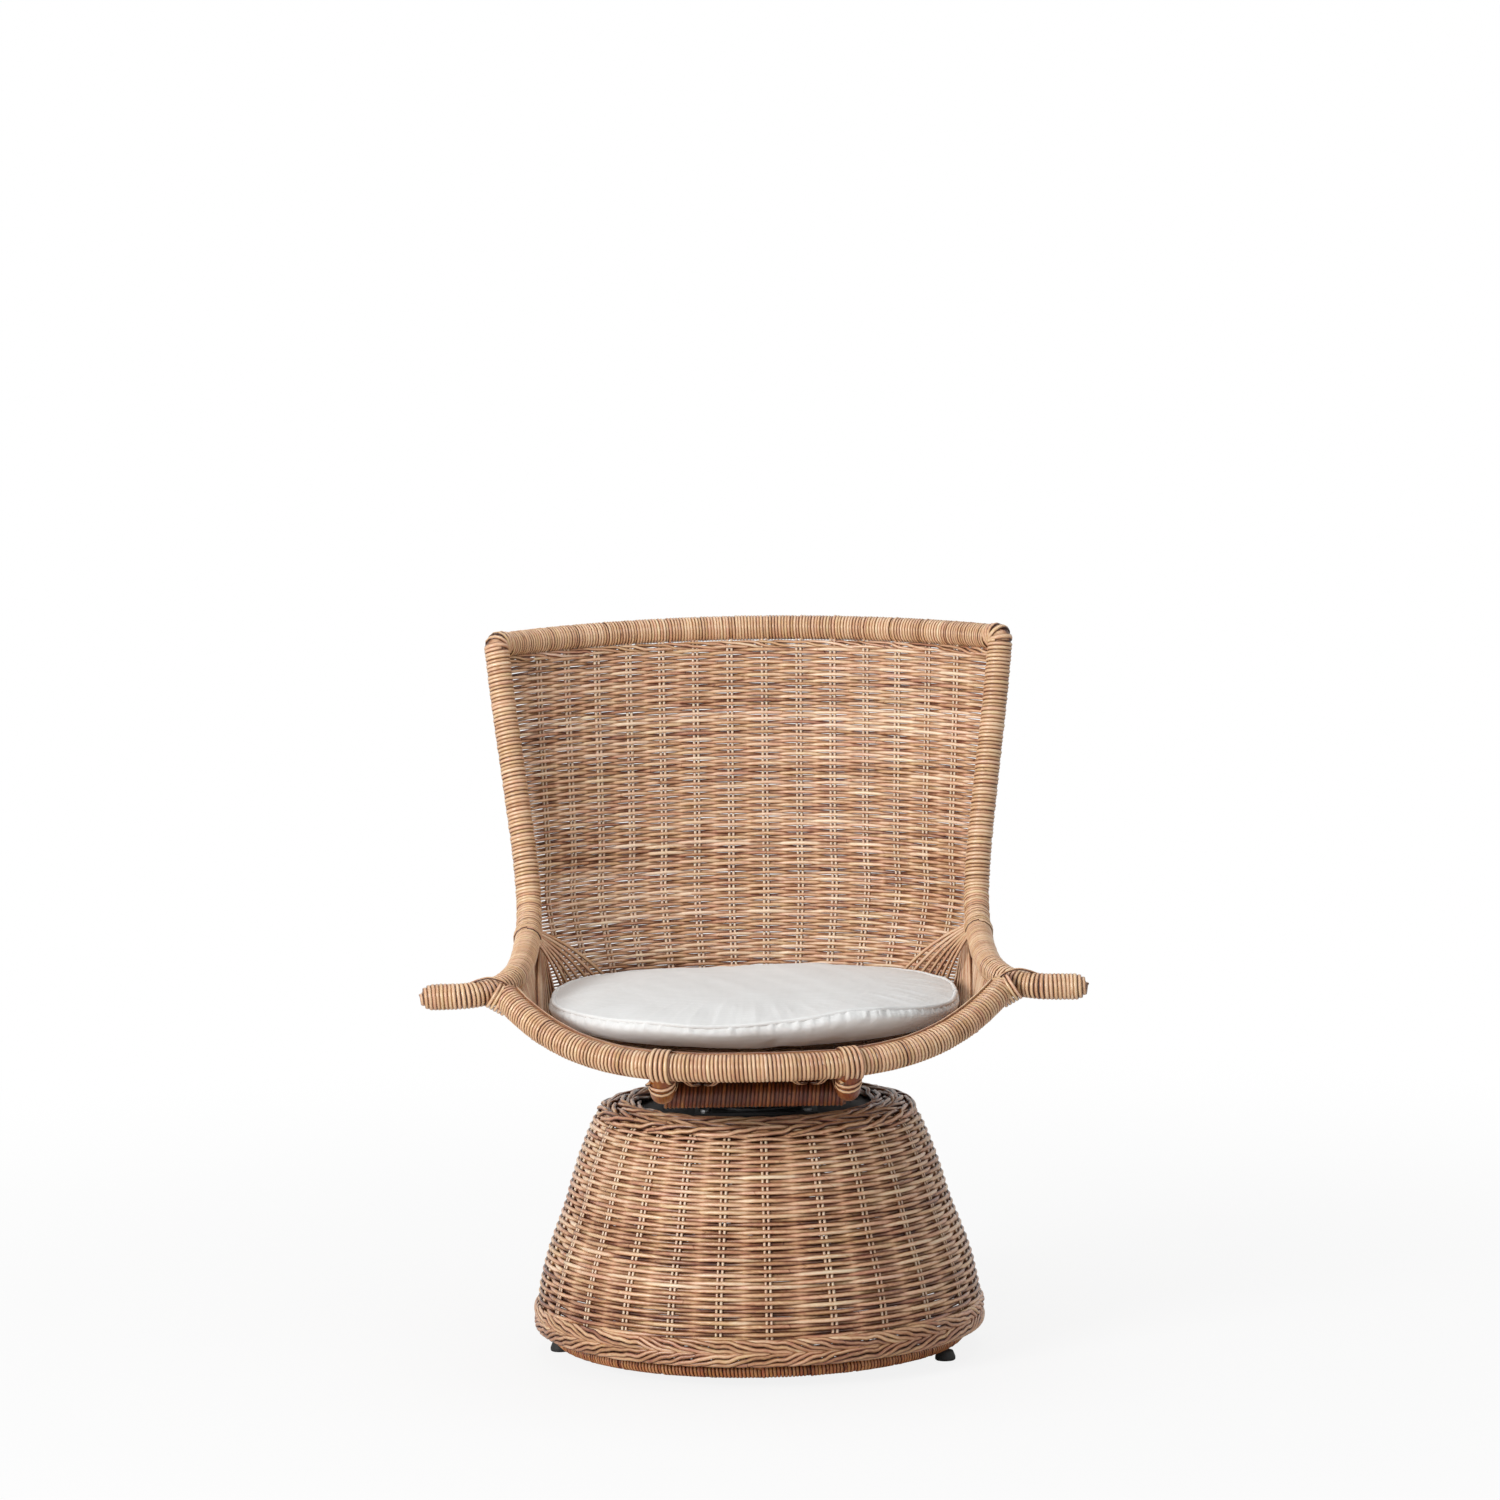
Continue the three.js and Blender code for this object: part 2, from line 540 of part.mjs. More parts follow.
add(base, "swivel_lower_plate", swivelPlate(lowerPlateBottom, lowerPlateTop, lowerBores), BLACK, 0.45, 0.7);
const lowerBolt = turned([
  [0, lowerBoltTip], [BOLT_RADIUS, lowerBoltTip], [BOLT_RADIUS, boltHeadBottom],
  [BOLT_HEAD_RADIUS, boltHeadBottom], [BOLT_HEAD_RADIUS, boltHeadBottom + BOLT_HEAD_HEIGHT],
  [0, boltHeadBottom + BOLT_HEAD_HEIGHT],
], BOLT_SEGMENTS);
boltPlaces.forEach(([x, side], i) => {
  add(base, `lower_bolt_${i + 1}`, lowerBolt, STEEL, 0.35, 0.9).position.set(x, side * DECK_BAR_Y, 0);
});

// ---------------------------------------------------------------- swivel: balls, pivot and upper half
const ballHeight = lowerPlateTop + RACE_HEIGHT + GAP + BALL_RADIUS;
const cageInner = RACE_RADIUS - RACE_WIDTH / 2 - CAGE_MARGIN;
const cageOuter = RACE_RADIUS + RACE_WIDTH / 2 + CAGE_MARGIN;
const cageRing = turnedRing([
  [cageInner, ballHeight - CAGE_THICKNESS / 2], [cageOuter, ballHeight - CAGE_THICKNESS / 2],
  [cageOuter, ballHeight + CAGE_THICKNESS / 2], [cageInner, ballHeight + CAGE_THICKNESS / 2],
], SMALL_SEGMENTS);
const balls = Array.from({ length: BALL_COUNT }, (_, i) => {
  const angle = (2 * Math.PI * i) / BALL_COUNT;
  return new THREE.SphereGeometry(BALL_RADIUS, BALL_SEGMENTS, BALL_BANDS)
    .rotateX(Math.PI / 2)
    .translate(RACE_RADIUS * Math.cos(angle), RACE_RADIUS * Math.sin(angle), ballHeight);
});
add(base, "ball_cage", fuse(cageRing, ...balls), STEEL, 0.3, 0.9);

const upperRaceBottom = ballHeight + BALL_RADIUS + GAP;
const upperPlateBottom = upperRaceBottom + RACE_HEIGHT;
const upperPlateTop = upperPlateBottom + PLATE_THICKNESS;
const bearerBottom = upperPlateTop + GAP;
const upperBoltTip = bearerBottom + UPPER_BOLT_BITE;
const upperBores = boltPlaces.map(([x, side]) =>
  upright(BOLT_RADIUS + GAP, upperPlateBottom - PAST, upperBoltTip + PAST, x, side * BEARER_Y));
add(seat, "swivel_upper_plate", swivelPlate(upperPlateBottom, upperRaceBottom, upperBores), BLACK, 0.45, 0.7);
const upperHead = upperPlateBottom - GAP;
const upperBolt = turned([
  [0, upperHead - BOLT_HEAD_HEIGHT], [BOLT_HEAD_RADIUS, upperHead - BOLT_HEAD_HEIGHT],
  [BOLT_HEAD_RADIUS, upperHead], [BOLT_RADIUS, upperHead], [BOLT_RADIUS, upperBoltTip], [0, upperBoltTip],
], BOLT_SEGMENTS);
boltPlaces.forEach(([x, side], i) => {
  add(seat, `upper_bolt_${i + 1}`, upperBolt, STEEL, 0.35, 0.9).position.set(x, side * BEARER_Y, 0);
});
const pivotLow = lowerPlateBottom - GAP;
const pivotHigh = upperPlateTop + GAP;
add(base, "swivel_pivot", turned([
  [0, pivotLow - PIVOT_FLANGE_THICKNESS], [PIVOT_FLANGE_RADIUS, pivotLow - PIVOT_FLANGE_THICKNESS],
  [PIVOT_FLANGE_RADIUS, pivotLow], [PIVOT_RADIUS, pivotLow], [PIVOT_RADIUS, pivotHigh],
  [PIVOT_FLANGE_RADIUS, pivotHigh], [PIVOT_FLANGE_RADIUS, pivotHigh + PIVOT_FLANGE_THICKNESS],
  [0, pivotHigh + PIVOT_FLANGE_THICKNESS],
], SMALL_SEGMENTS), STEEL, 0.35, 0.9);

// ---------------------------------------------------------------- seat: the curves that everything follows
const bearerTop = bearerBottom + BEARER_HEIGHT;
const runnerHeight = bearerTop + GAP + RUNNER_POLE;
const ribLevel = runnerHeight + RUNNER_POLE + GAP + SEAT_RIB_POLE;
const seatLevel = ribLevel + SEAT_RIB_POLE + GAP + WEAVE / 2;
const aboveSeat = (plan) => plan.map(([x, y, z]) => [x, y, seatLevel + z]);
const sidePoleRoute = aboveSeat(SIDE_POLE_PLAN);
const hoopRoute = aboveSeat(HOOP_PLAN);
const [hoopCorner] = aboveSeat([CORNER]);
const [, armBendY] = ARM_BEND;

/** Radius of the arc over a half span with a bow. */
const arcRadius = (halfSpan, bow) => (halfSpan ** 2 + bow ** 2) / (2 * bow);

/** The front rim: an arc in plan that climbs steeply towards the arms. */
class RimCurve extends THREE.Curve {
  getPoint(t, target = new THREE.Vector3()) {
    const radius = arcRadius(RIM_HALF_SPAN, RIM_BOW);
    const angle = (2 * t - 1) * Math.asin(RIM_HALF_SPAN / radius);
    const x = radius * Math.sin(angle);
    const y = armBendY - RIM_SETTING - RIM_BOW + radius * (1 - Math.cos(angle));
    return target.set(x, y, seatLevel + RIM_FRONT_HEIGHT + RIM_RISE * (x / RIM_HALF_SPAN) ** RIM_TURN_UP);
  }
}

const [railEndX, railEndY, railEndZ] = sidePoleRoute[0];
const railHalfSpan = railEndX - SIDE_POLE / 2;
const railMiddleY = railEndY + TOP_RAIL_SETTING + TOP_RAIL_BOW;
const railEndHeight = railEndZ - TOP_RAIL_POLE;

/** The top rail: an arc in plan with a slight crown, butted against the side poles. */
class TopRailCurve extends THREE.Curve {
  getPoint(t, target = new THREE.Vector3()) {
    const radius = arcRadius(railHalfSpan, TOP_RAIL_BOW);
    const angle = (2 * t - 1) * Math.asin(railHalfSpan / radius);
    const x = radius * Math.sin(angle);
    const y = railMiddleY - radius * (1 - Math.cos(angle));
    return target.set(x, y, railEndHeight + TOP_RAIL_CROWN * (1 - (x / railHalfSpan) ** 2));
  }
}

const SIDES = [["right", 1], ["left", -1]];
const onSide = (points, side) => (side > 0 ? points : mirrored(points));
const rimCurve = new RimCurve();
const topRailCurve = new TopRailCurve();
const hoopCurve = through([...mirrored(hoopRoute).slice(1).reverse(), ...hoopRoute]);
const polePath = (side) => through(onSide(sidePoleRoute, side));

const rim = (growth = 0) => pole(rimCurve, RIM_POLE + growth, RIM_STEPS);
const topRail = (growth = 0) => pole(topRailCurve, TOP_RAIL_POLE + growth, TOP_RAIL_STEPS);
const seatHoop = (growth = 0) => pole(hoopCurve, HOOP_POLE + growth, SEAT_HOOP_STEPS);

/** One side pole with the rounded end of its arm. */
function sidePole(side, growth = 0) {
  const tube = pole(polePath(side), SIDE_POLE + growth, SIDE_POLE_STEPS);
  const [x, y, z] = sidePoleRoute.at(-1);
  const end = new THREE.SphereGeometry(SIDE_POLE + growth, POLE_SIDES, ARM_END_BANDS).rotateZ(Math.PI / 2);
  return fuse(tube, end.translate(side * x, y, z));
}

for (const [name, side] of SIDES) add(seat, `side_pole_${name}`, sidePole(side), RATTAN);
const poleClearances = SIDES.map(([, side]) => sidePole(side, GAP));
add(seat, "front_rim", cut(rim(), ...poleClearances), RATTAN);
add(seat, "top_rail", cut(topRail(), ...poleClearances), RATTAN);
add(seat, "seat_hoop", cut(seatHoop(), rim(GAP), ...poleClearances), DARK_RATTAN);

// ---------------------------------------------------------------- seat: under-frame
for (const [name, y] of [["bearer_front", -BEARER_Y], ["bearer_rear", BEARER_Y]]) {
  const bearer = block(
    [-BEARER_HALF_LENGTH, y - BEARER_WIDTH / 2, bearerBottom],
    [BEARER_HALF_LENGTH, y + BEARER_WIDTH / 2, bearerTop],
  );
  add(seat, name, cut(bearer, ...upperBores), BLACK, 0.8);
}

/** Where a curve passes a given x, as its parameter. */
function parameterAt(curve, x) {
  let [low, high] = [0, 1];
  for (let i = 0; i < 30; i++) {
    const middle = (low + high) / 2;
    if (curve.getPoint(middle).x < x) low = middle;
    else high = middle;
  }
  return low;
}

/** A runner: turned up at the front to the rim, level under the seat, and ending under the seat hoop. */
function runner(side, growth = 0) {
  const x = side * RUNNER_X;
  const front = rimCurve.getPoint(parameterAt(rimCurve, x));
  const back = hoopCurve.getPoint(parameterAt(hoopCurve, x));
  const rear = new THREE.Vector3(x, back.y + RUNNER_POLE, back.z - HOOP_POLE - GAP - RUNNER_POLE);
  const path = new THREE.CurvePath();
  const level = (y) => new THREE.Vector3(x, y, runnerHeight);
  path.add(new THREE.QuadraticBezierCurve3(front, level(front.y), level(front.y + RUNNER_BEND)));
  path.add(new THREE.LineCurve3(level(front.y + RUNNER_BEND), level(back.y - 2 * RUNNER_BEND)));
  path.add(new THREE.LineCurve3(level(back.y - 2 * RUNNER_BEND), rear));
  return pole(path, RUNNER_POLE + growth, RUNNER_STEPS);
}

const lashingThickness = 2 * LASHING_CANE;
const coilRadius = RIM_POLE + GAP + LASHING_CANE;

/** The room that the lashing takes round the rim over one runner. */
function lashingClearance(side) {
  const reach = (LASHING_TURNS / 2 + LASHING_MARGIN) * LASHING_PITCH;
  const points = [-1, -0.5, 0, 0.5, 1].map((share) =>
    rimCurve.getPoint(parameterAt(rimCurve, side * RUNNER_X + share * reach)).toArray());
  const tailReach = Math.hypot(coilRadius, lashingThickness) + LASHING_CANE + 2 * GAP;
  const sides = 2 * POLE_SIDES;
  return pole(through(points), tailReach / Math.cos(Math.PI / sides), LASHING_ROOM_STEPS, sides);
}

for (const [name, side] of SIDES) {
  add(seat, `runner_${name}`, cut(runner(side), lashingClearance(side)), PALE_RATTAN);
}
for (const [name, y] of [["cross_rail_front", CROSS_RAIL_FRONT_Y], ["cross_rail_rear", CROSS_RAIL_REAR_Y]]) {
  const ends = [-RUNNER_X, RUNNER_X].map((x) => new THREE.Vector3(x, y, runnerHeight - CROSS_RAIL_DROP));
  const rail = pole(new THREE.LineCurve3(...ends), CROSS_RAIL_POLE, 1);
  add(seat, name, cut(rail, ...SIDES.map(([, side]) => runner(side, GAP))), DARK_RATTAN);
}

/** The cane that lashes a runner to the rim: one coil round the rim, with straight tails. */
function lashingPath(side) {
  const middle = parameterAt(rimCurve, side * RUNNER_X);
  const perLength = 1 / rimCurve.getLength();
  const steps = LASHING_STEPS * LASHING_TURNS;
  const points = [];
  for (let i = 0; i <= steps; i++) {
    const turn = (i / steps - 0.5) * LASHING_TURNS;
    const t = middle + turn * LASHING_PITCH * perLength;
    const along = rimCurve.getTangent(t);
    const up = new THREE.Vector3(0, 0, 1).addScaledVector(along, -along.z).normalize();
    const across = along.clone().cross(up);
    const angle = 2 * Math.PI * turn;
    points.push(rimCurve.getPoint(t).addScaledVector(up, -coilRadius * Math.cos(angle))
      .addScaledVector(across, coilRadius * Math.sin(angle)));
  }
  return points;
}

/** Least gap between a coil's own turns, from points a half turn or more apart. */
function leastGap(points, diameter) {
  let least = Infinity;
  points.forEach((point, i) => {
    for (const other of points.slice(i + LASHING_STEPS / 2)) least = Math.min(least, point.distanceTo(other));
  });
  return least - diameter;
}

for (const [name, side] of SIDES) {
  const coil = lashingPath(side);
  console.log(`lashing_${name}: least gap between turns ${leastGap(coil, lashingThickness).toFixed(2)} mm`);
  const tail = (from, to) => to.clone().sub(from).setLength(lashingThickness).add(to);
  const route = [tail(coil[1], coil[0]), ...coil, tail(coil.at(-2), coil.at(-1))];
  const curve = new THREE.CatmullRomCurve3(route, false, "centripetal");
  const steps = LASHING_STEPS * LASHING_TURNS + 2;
  add(seat, `lashing_${name}`, pole(curve, LASHING_CANE, steps, CORD_SIDES), RATTAN);
}

// ---------------------------------------------------------------- seat: woven pan
/** Points round the seat, from the front centre anticlockwise: along the rim, then along the hoop. */
function seatOutline() {
  const meet = hoopRoute.at(-1)[0];
  const rimEnd = parameterAt(rimCurve, meet);
  const right = [];
  for (let i = 0; i <= SEAT_RIM_FACETS; i++) {
    right.push(rimCurve.getPoint(0.5 + ((rimEnd - 0.5) * i) / SEAT_RIM_FACETS));
  }
  for (let i = 1; i <= SEAT_HOOP_FACETS; i++) {
    right.push(hoopCurve.getPointAt(1 - (0.5 * i) / SEAT_HOOP_FACETS));
  }
  const left = right.slice(1, -1).reverse().map((point) => new THREE.Vector3(-point.x, point.y, point.z));
  return [...right, ...left];
}

const outline = seatOutline();
const seatCentre = (height) => new THREE.Vector3(0, SEAT_CENTRE_Y, height);
/** A ring of the dished seat, at a share of the way out and an offset from its middle surface. */
function seatRing(share, offset) {
  return outline.map((edge) => {
    const rise = Math.max(0, edge.z - seatLevel) * share ** SEAT_DISH;
    const point = seatCentre(seatLevel + offset).lerp(new THREE.Vector3(edge.x, edge.y, 0), share);
    return point.setZ(seatLevel + rise + offset);
  });
}
const panTop = SEAT_SHARES.map((share) => seatRing(share, WEAVE / 2));
const panFoot = SEAT_SHARES.map((share) => seatRing(share, -WEAVE / 2)).reverse();
const [panHigh, panLow] = [seatLevel + WEAVE / 2, seatLevel - WEAVE / 2];
const pan = skin(seatCentre(panHigh), [...panTop, ...panFoot], seatCentre(panLow));
const lashingRoom = SIDES.map(([, side]) => lashingClearance(side));
add(seat, "seat_weave", cut(pan, rim(GAP), seatHoop(GAP), ...lashingRoom), RATTAN, 0.7);

SEAT_RIBS.forEach(([y, halfLength], i) => {
  const across = outline.filter((point) => point.x > 0);
  const after = across.findIndex((point) => point.y >= y);
  const [a, b] = [across[after - 1], across[after]];
  const reach = Math.min(halfLength, a.x + ((b.x - a.x) * (y - a.y)) / (b.y - a.y));
  const ends = [-reach, reach].map((x) => new THREE.Vector3(x, y, ribLevel));
  const rib = pole(new THREE.LineCurve3(...ends), SEAT_RIB_POLE, 1);
  add(seat, `seat_rib_${i + 1}`, cut(rib, rim(GAP), seatHoop(GAP)), DARK_RATTAN);
});

// ---------------------------------------------------------------- seat: woven back and side webs
const waist = SIDE_POLE_PLAN.indexOf(WAIST);
const backEdge = through([...sidePoleRoute.slice(0, waist + 1), hoopCorner]);
const [, footY] = hoopRoute[0];
const footHeight = hoopCorner[2];
const lean = (railMiddleY - footY) / (railEndHeight + TOP_RAIL_CROWN - footHeight);

/** The back's middle surface: each row is a level arc from pole to pole through the leaning centre line. */
function backSurface(u, v) {
  const edge = backEdge.getPoint(v);
  const height = Math.min(edge.z, railEndHeight);
  const centreY = footY + lean * (height - footHeight);
  const radius = arcRadius(edge.x, centreY - edge.y);
  const angle = (2 * u - 1) * Math.asin(edge.x / radius);
  const crown = TOP_RAIL_CROWN * (1 - (2 * u - 1) ** 2) * (1 - v);
  const y = centreY - radius * (1 - Math.cos(angle));
  return new THREE.Vector3(radius * Math.sin(angle), y, height + crown);
}

const backColumns = 2 * BACK_STAKES + 2; // the edges, the stakes and the middles between them
/** Place of a column of the back, from 0 to 1 across it, at a share of the way down. */
function backPlace(column, down) {
  if (column === 0 || column === backColumns) return column / backColumns;
  const spacing = THREE.MathUtils.lerp(...STAKE_SPACING, down);
  return 0.5 + ((column - backColumns / 2) * spacing) / 4;
}
const onStake = (column) => column === 0 || column === backColumns || (column - backColumns / 2) % 2 !== 0;
const backThickness = (column) => (onStake(column) ? WEAVE : WEAVE - 2 * BACK_FLUTE);
const back = sheet(backSurface, backColumns, BACK_ROWS, backThickness, backPlace);
add(seat, "back_weave", cut(back, topRail(GAP), seatHoop(GAP), ...poleClearances), RATTAN, 0.7);

/** A side web's middle surface: straight strands from the side rail down to the seat hoop. */
function webSurface(side) {
  const rail = polePath(side);
  const hoopFrom = parameterAt(hoopCurve, hoopCorner[0]);
  return (u, v) => {
    const top = rail.getPoint((waist + u * WEB_TOP_SPAN) / (sidePoleRoute.length - 1));
    const foot = hoopCurve.getPoint(hoopFrom + (1 - hoopFrom) * WEB_FOOT_SHARE * u);
    foot.x *= side;
    return top.lerp(foot, v);
  };
}

// The back again, a little thicker and wider, to keep the webs clear of its edges.
const widerBack = (u, v) => backSurface(u * (1 + 2 * BACK_ROOM) - BACK_ROOM, v);
const backClearance = sheet(widerBack, backColumns, BACK_ROWS, () => WEAVE + 2 * GAP, backPlace);
for (const [name, side] of SIDES) {
  const web = sheet(webSurface(side), WEB_COLUMNS, WEB_ROWS, () => SIDE_WEB_THICKNESS);
  const trimmed = cut(web, backClearance, rim(GAP), seatHoop(GAP), ...poleClearances);
  add(seat, `side_web_${name}`, trimmed, RATTAN, 0.7);
}

// ---------------------------------------------------------------- cushion
/** A ring of the cushion at a share of the way out, at heights from the seam's own height. */
function cushionRing(share, heightAt) {
  const middleY = (CUSHION_FRONT_Y + CUSHION_REAR_Y) / 2;
  const halfDepth = (CUSHION_REAR_Y - CUSHION_FRONT_Y) / 2;
  return Array.from({ length: CUSHION_FACETS }, (_, i) => {
    const angle = (2 * Math.PI * i) / CUSHION_FACETS;
    const [c, s] = [Math.cos(angle), Math.sin(angle)];
    const spread = Math.abs(c) ** CUSHION_SQUARENESS + Math.abs(s) ** CUSHION_SQUARENESS;
    const reach = share * spread ** (-1 / CUSHION_SQUARENESS);
    const seamRise = (CUSHION_SEAM_SIDE - CUSHION_SEAM_FRONT) * (s < 0 ? c ** 2 : 1);
    const seam = seatLevel + CUSHION_SEAM_FRONT + seamRise;
    return new THREE.Vector3(reach * c * CUSHION_HALF_WIDTH, middleY + reach * s * halfDepth, heightAt(seam));
  });
}

const cushionBottom = seatLevel + WEAVE / 2 + GAP;
const cushionCrown = seatLevel + CUSHION_CROWN;
const swell = (share) => (1 - share ** CUSHION_FULLNESS) ** CUSHION_SHOULDER;
const swollen = (extreme) => (share) =>
  cushionRing(share, (seam) => seam + (extreme - seam) * swell(share));
const cushionCentre = (height) => new THREE.Vector3(0, (CUSHION_FRONT_Y + CUSHION_REAR_Y) / 2, height);
add(seat, "seat_cushion", skin(
  cushionCentre(cushionCrown),
  [
    ...CUSHION_TOP_SHARES.map(swollen(cushionCrown)),
    cushionRing(1, (seam) => seam),
    ...CUSHION_FOOT_SHARES.map(swollen(cushionBottom)),
  ],
  cushionCentre(cushionBottom),
), LINEN, 0.9);

const seamShare = 1 + (PIPING_RADIUS + GAP) / CUSHION_HALF_WIDTH;
const seamPoints = cushionRing(seamShare, (seam) => seam);
const rear = CUSHION_FACETS / 4;
const seamLoop = [...seamPoints.slice(rear), ...seamPoints.slice(0, rear + 1)];
// The piping's two ends meet at the rear with a small gap.
seamLoop[0] = seamLoop[0].clone().add(new THREE.Vector3(-PIPING_PARTING, 0, 0));
seamLoop[CUSHION_FACETS] = seamLoop[CUSHION_FACETS].clone().add(new THREE.Vector3(PIPING_PARTING, 0, 0));
const seamCurve = new THREE.CatmullRomCurve3(seamLoop, false, "centripetal");
add(seat, "cushion_piping", pole(seamCurve, PIPING_RADIUS, PIPING_STEPS, CORD_SIDES), LINEN, 0.9);

export default chair;
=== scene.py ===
"""Looks of a swivel lounge chair in woven rattan.

Canes are laid one by one: weavers over and under paired stakes, windings round every pole, ropes along the
borders. Lengths here are in millimetres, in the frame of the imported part, and become metres in the meshes.
"""

import logging
import math
from dataclasses import dataclass, field
from enum import Enum

import bpy
import numpy as np
from mathutils import Matrix, Vector
from mathutils.bvhtree import BVHTree


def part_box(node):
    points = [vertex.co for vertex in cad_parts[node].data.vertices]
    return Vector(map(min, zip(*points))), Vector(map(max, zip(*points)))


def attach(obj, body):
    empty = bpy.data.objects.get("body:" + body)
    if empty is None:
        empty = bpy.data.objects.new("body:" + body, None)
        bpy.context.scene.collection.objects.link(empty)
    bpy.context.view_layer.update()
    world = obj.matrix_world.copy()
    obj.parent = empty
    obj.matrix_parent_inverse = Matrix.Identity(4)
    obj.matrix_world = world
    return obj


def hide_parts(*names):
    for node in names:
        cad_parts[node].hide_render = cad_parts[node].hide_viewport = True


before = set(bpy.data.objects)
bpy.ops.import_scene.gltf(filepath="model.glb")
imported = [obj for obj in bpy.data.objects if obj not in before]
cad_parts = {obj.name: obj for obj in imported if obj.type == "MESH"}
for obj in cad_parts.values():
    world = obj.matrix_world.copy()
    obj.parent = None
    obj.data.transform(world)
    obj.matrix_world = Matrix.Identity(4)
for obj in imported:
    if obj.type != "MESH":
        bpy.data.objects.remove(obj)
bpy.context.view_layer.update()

MM = 0.001
WAVE = 6.283  # one wave, in radians
WAVES = 5  # sines in a noise
GOLDEN = 1.618  # how many times shorter each next sine is
SLOWEST = 0.6  # waves of the longest sine in one unit
FADE = 0.6  # how fast the shorter sines grow lower
LOUDNESS = 2.2  # height of the sum of the sines
CORE_INSET = 2.0  # how far a pole's core lies inside the face of its winding
Array = np.ndarray
log = logging.getLogger("chair")


# ------------------------------------------------------------------ arrays and curves
def unit(vectors: Array) -> Array:
    """Vectors of length one in the same directions."""
    return vectors / np.maximum(np.linalg.norm(vectors, axis=-1, keepdims=True), 1e-9)


def smooth_noise(x: Array, seed: int) -> Array:
    """A smooth wavering value between about -1 and 1.

    It is the sum of five sines, sin(0.6 k x + phase) in waves, with k near 1, 1.6, 2.6 and so on and the
    phases drawn from the seed.

    Args:
        x: Places, where one unit is about one wave.
        seed: Seed of the phases.

    Returns:
        An array of the shape of x.
    """
    rng = np.random.default_rng(seed)
    total = np.zeros_like(np.asarray(x, float))
    for k in range(WAVES):
        total += np.sin(x * WAVE * GOLDEN**k * SLOWEST + rng.uniform(0, WAVE)) / (1 + FADE * k)
    return total / LOUDNESS


def route(points: list[tuple[float, float, float]], t: Array) -> Array:
    """A smooth curve through points, the centripetal Catmull-Rom spline.

    Between p1 and p2 it is a cubic whose end tangents weigh the chords by the square roots of their lengths.

    Args:
        points: The points that it passes through.
        t: Parameters from 0 to 1, spread evenly over the points.

    Returns:
        One row of x, y, z for each parameter.
    """
    p = np.asarray(points, float)
    q = np.vstack([2 * p[0] - p[1], p, 2 * p[-1] - p[-2]])
    x = np.clip(np.asarray(t, float), 0, 1) * (len(p) - 1)
    i = np.clip(np.floor(x).astype(int), 0, len(p) - 2)
    w = (x - i)[..., None]
    p0, p1, p2, p3 = q[i], q[i + 1], q[i + 2], q[i + 3]
    chords = (p1 - p0, p2 - p1, p3 - p2)
    d0, d1, d2 = (np.sqrt(np.linalg.norm(chord, axis=-1, keepdims=True)) for chord in chords)
    m1 = d1 * ((p1 - p0) / d0 - (p2 - p0) / (d0 + d1) + (p2 - p1) / d1)
    m2 = d1 * ((p2 - p1) / d1 - (p3 - p1) / (d1 + d2) + (p3 - p2) / d2)
    return p1 + w * (m1 + w * (-3 * p1 + 3 * p2 - 2 * m1 - m2 + w * (2 * p1 - 2 * p2 + m1 + m2)))


def parabola(start: Array, aim: Array, end: Array, w: Array) -> Array:
    """Points at shares w of the parabola (1 - w)^2 start + 2 w (1 - w) aim + w^2 end, for one curve or more."""
    w = w[:, None]
    return (1 - w) ** 2 * start + 2 * w * (1 - w) * aim + w**2 * end


@dataclass
class Line3:
    """A dense line in space, read by its length from the start."""

    points: Array
    up: tuple[float, float, float] = (0, 0, 1)

    def __post_init__(self) -> None:
        """Measures the line."""
        steps = np.linalg.norm(np.diff(self.points, axis=0), axis=1)
        self.reach = np.concatenate([[0], np.cumsum(steps)])
        self.length = float(self.reach[-1])

    def at(self, s: Array) -> Array:
        """Points at lengths s from the start."""
        return np.stack([np.interp(s, self.reach, self.points[:, k]) for k in range(3)], -1)

    def along(self, s: Array) -> Array:
        """Directions of the line at lengths s."""
        step = max(self.length * 0.004, 0.5)
        return unit(self.at(np.minimum(s + step, self.length)) - self.at(np.maximum(s - step, 0)))

    def frame(self, s: Array) -> tuple[Array, Array]:
        """Two directions square to the line: as near to up as can be, and sideways.

        Args:
            s: Lengths from the start.

        Returns:
            The upward and the sideward directions.
        """
        t = self.along(s)
        side = unit(np.cross(t, np.broadcast_to(np.asarray(self.up, float), t.shape)))
        return unit(np.cross(side, t)), side

    def where(self, axis: int, value: float) -> float:
        """Where a coordinate that only rises or only falls has a value.

        Args:
            axis: 0, 1 or 2, for x, y or z.
            value: The coordinate's value.

        Returns:
            The length from the start.
        """
        column = self.points[:, axis]
        order = 1 if column[-1] > column[0] else -1
        return float(np.interp(value, column[::order], self.reach[::order]))


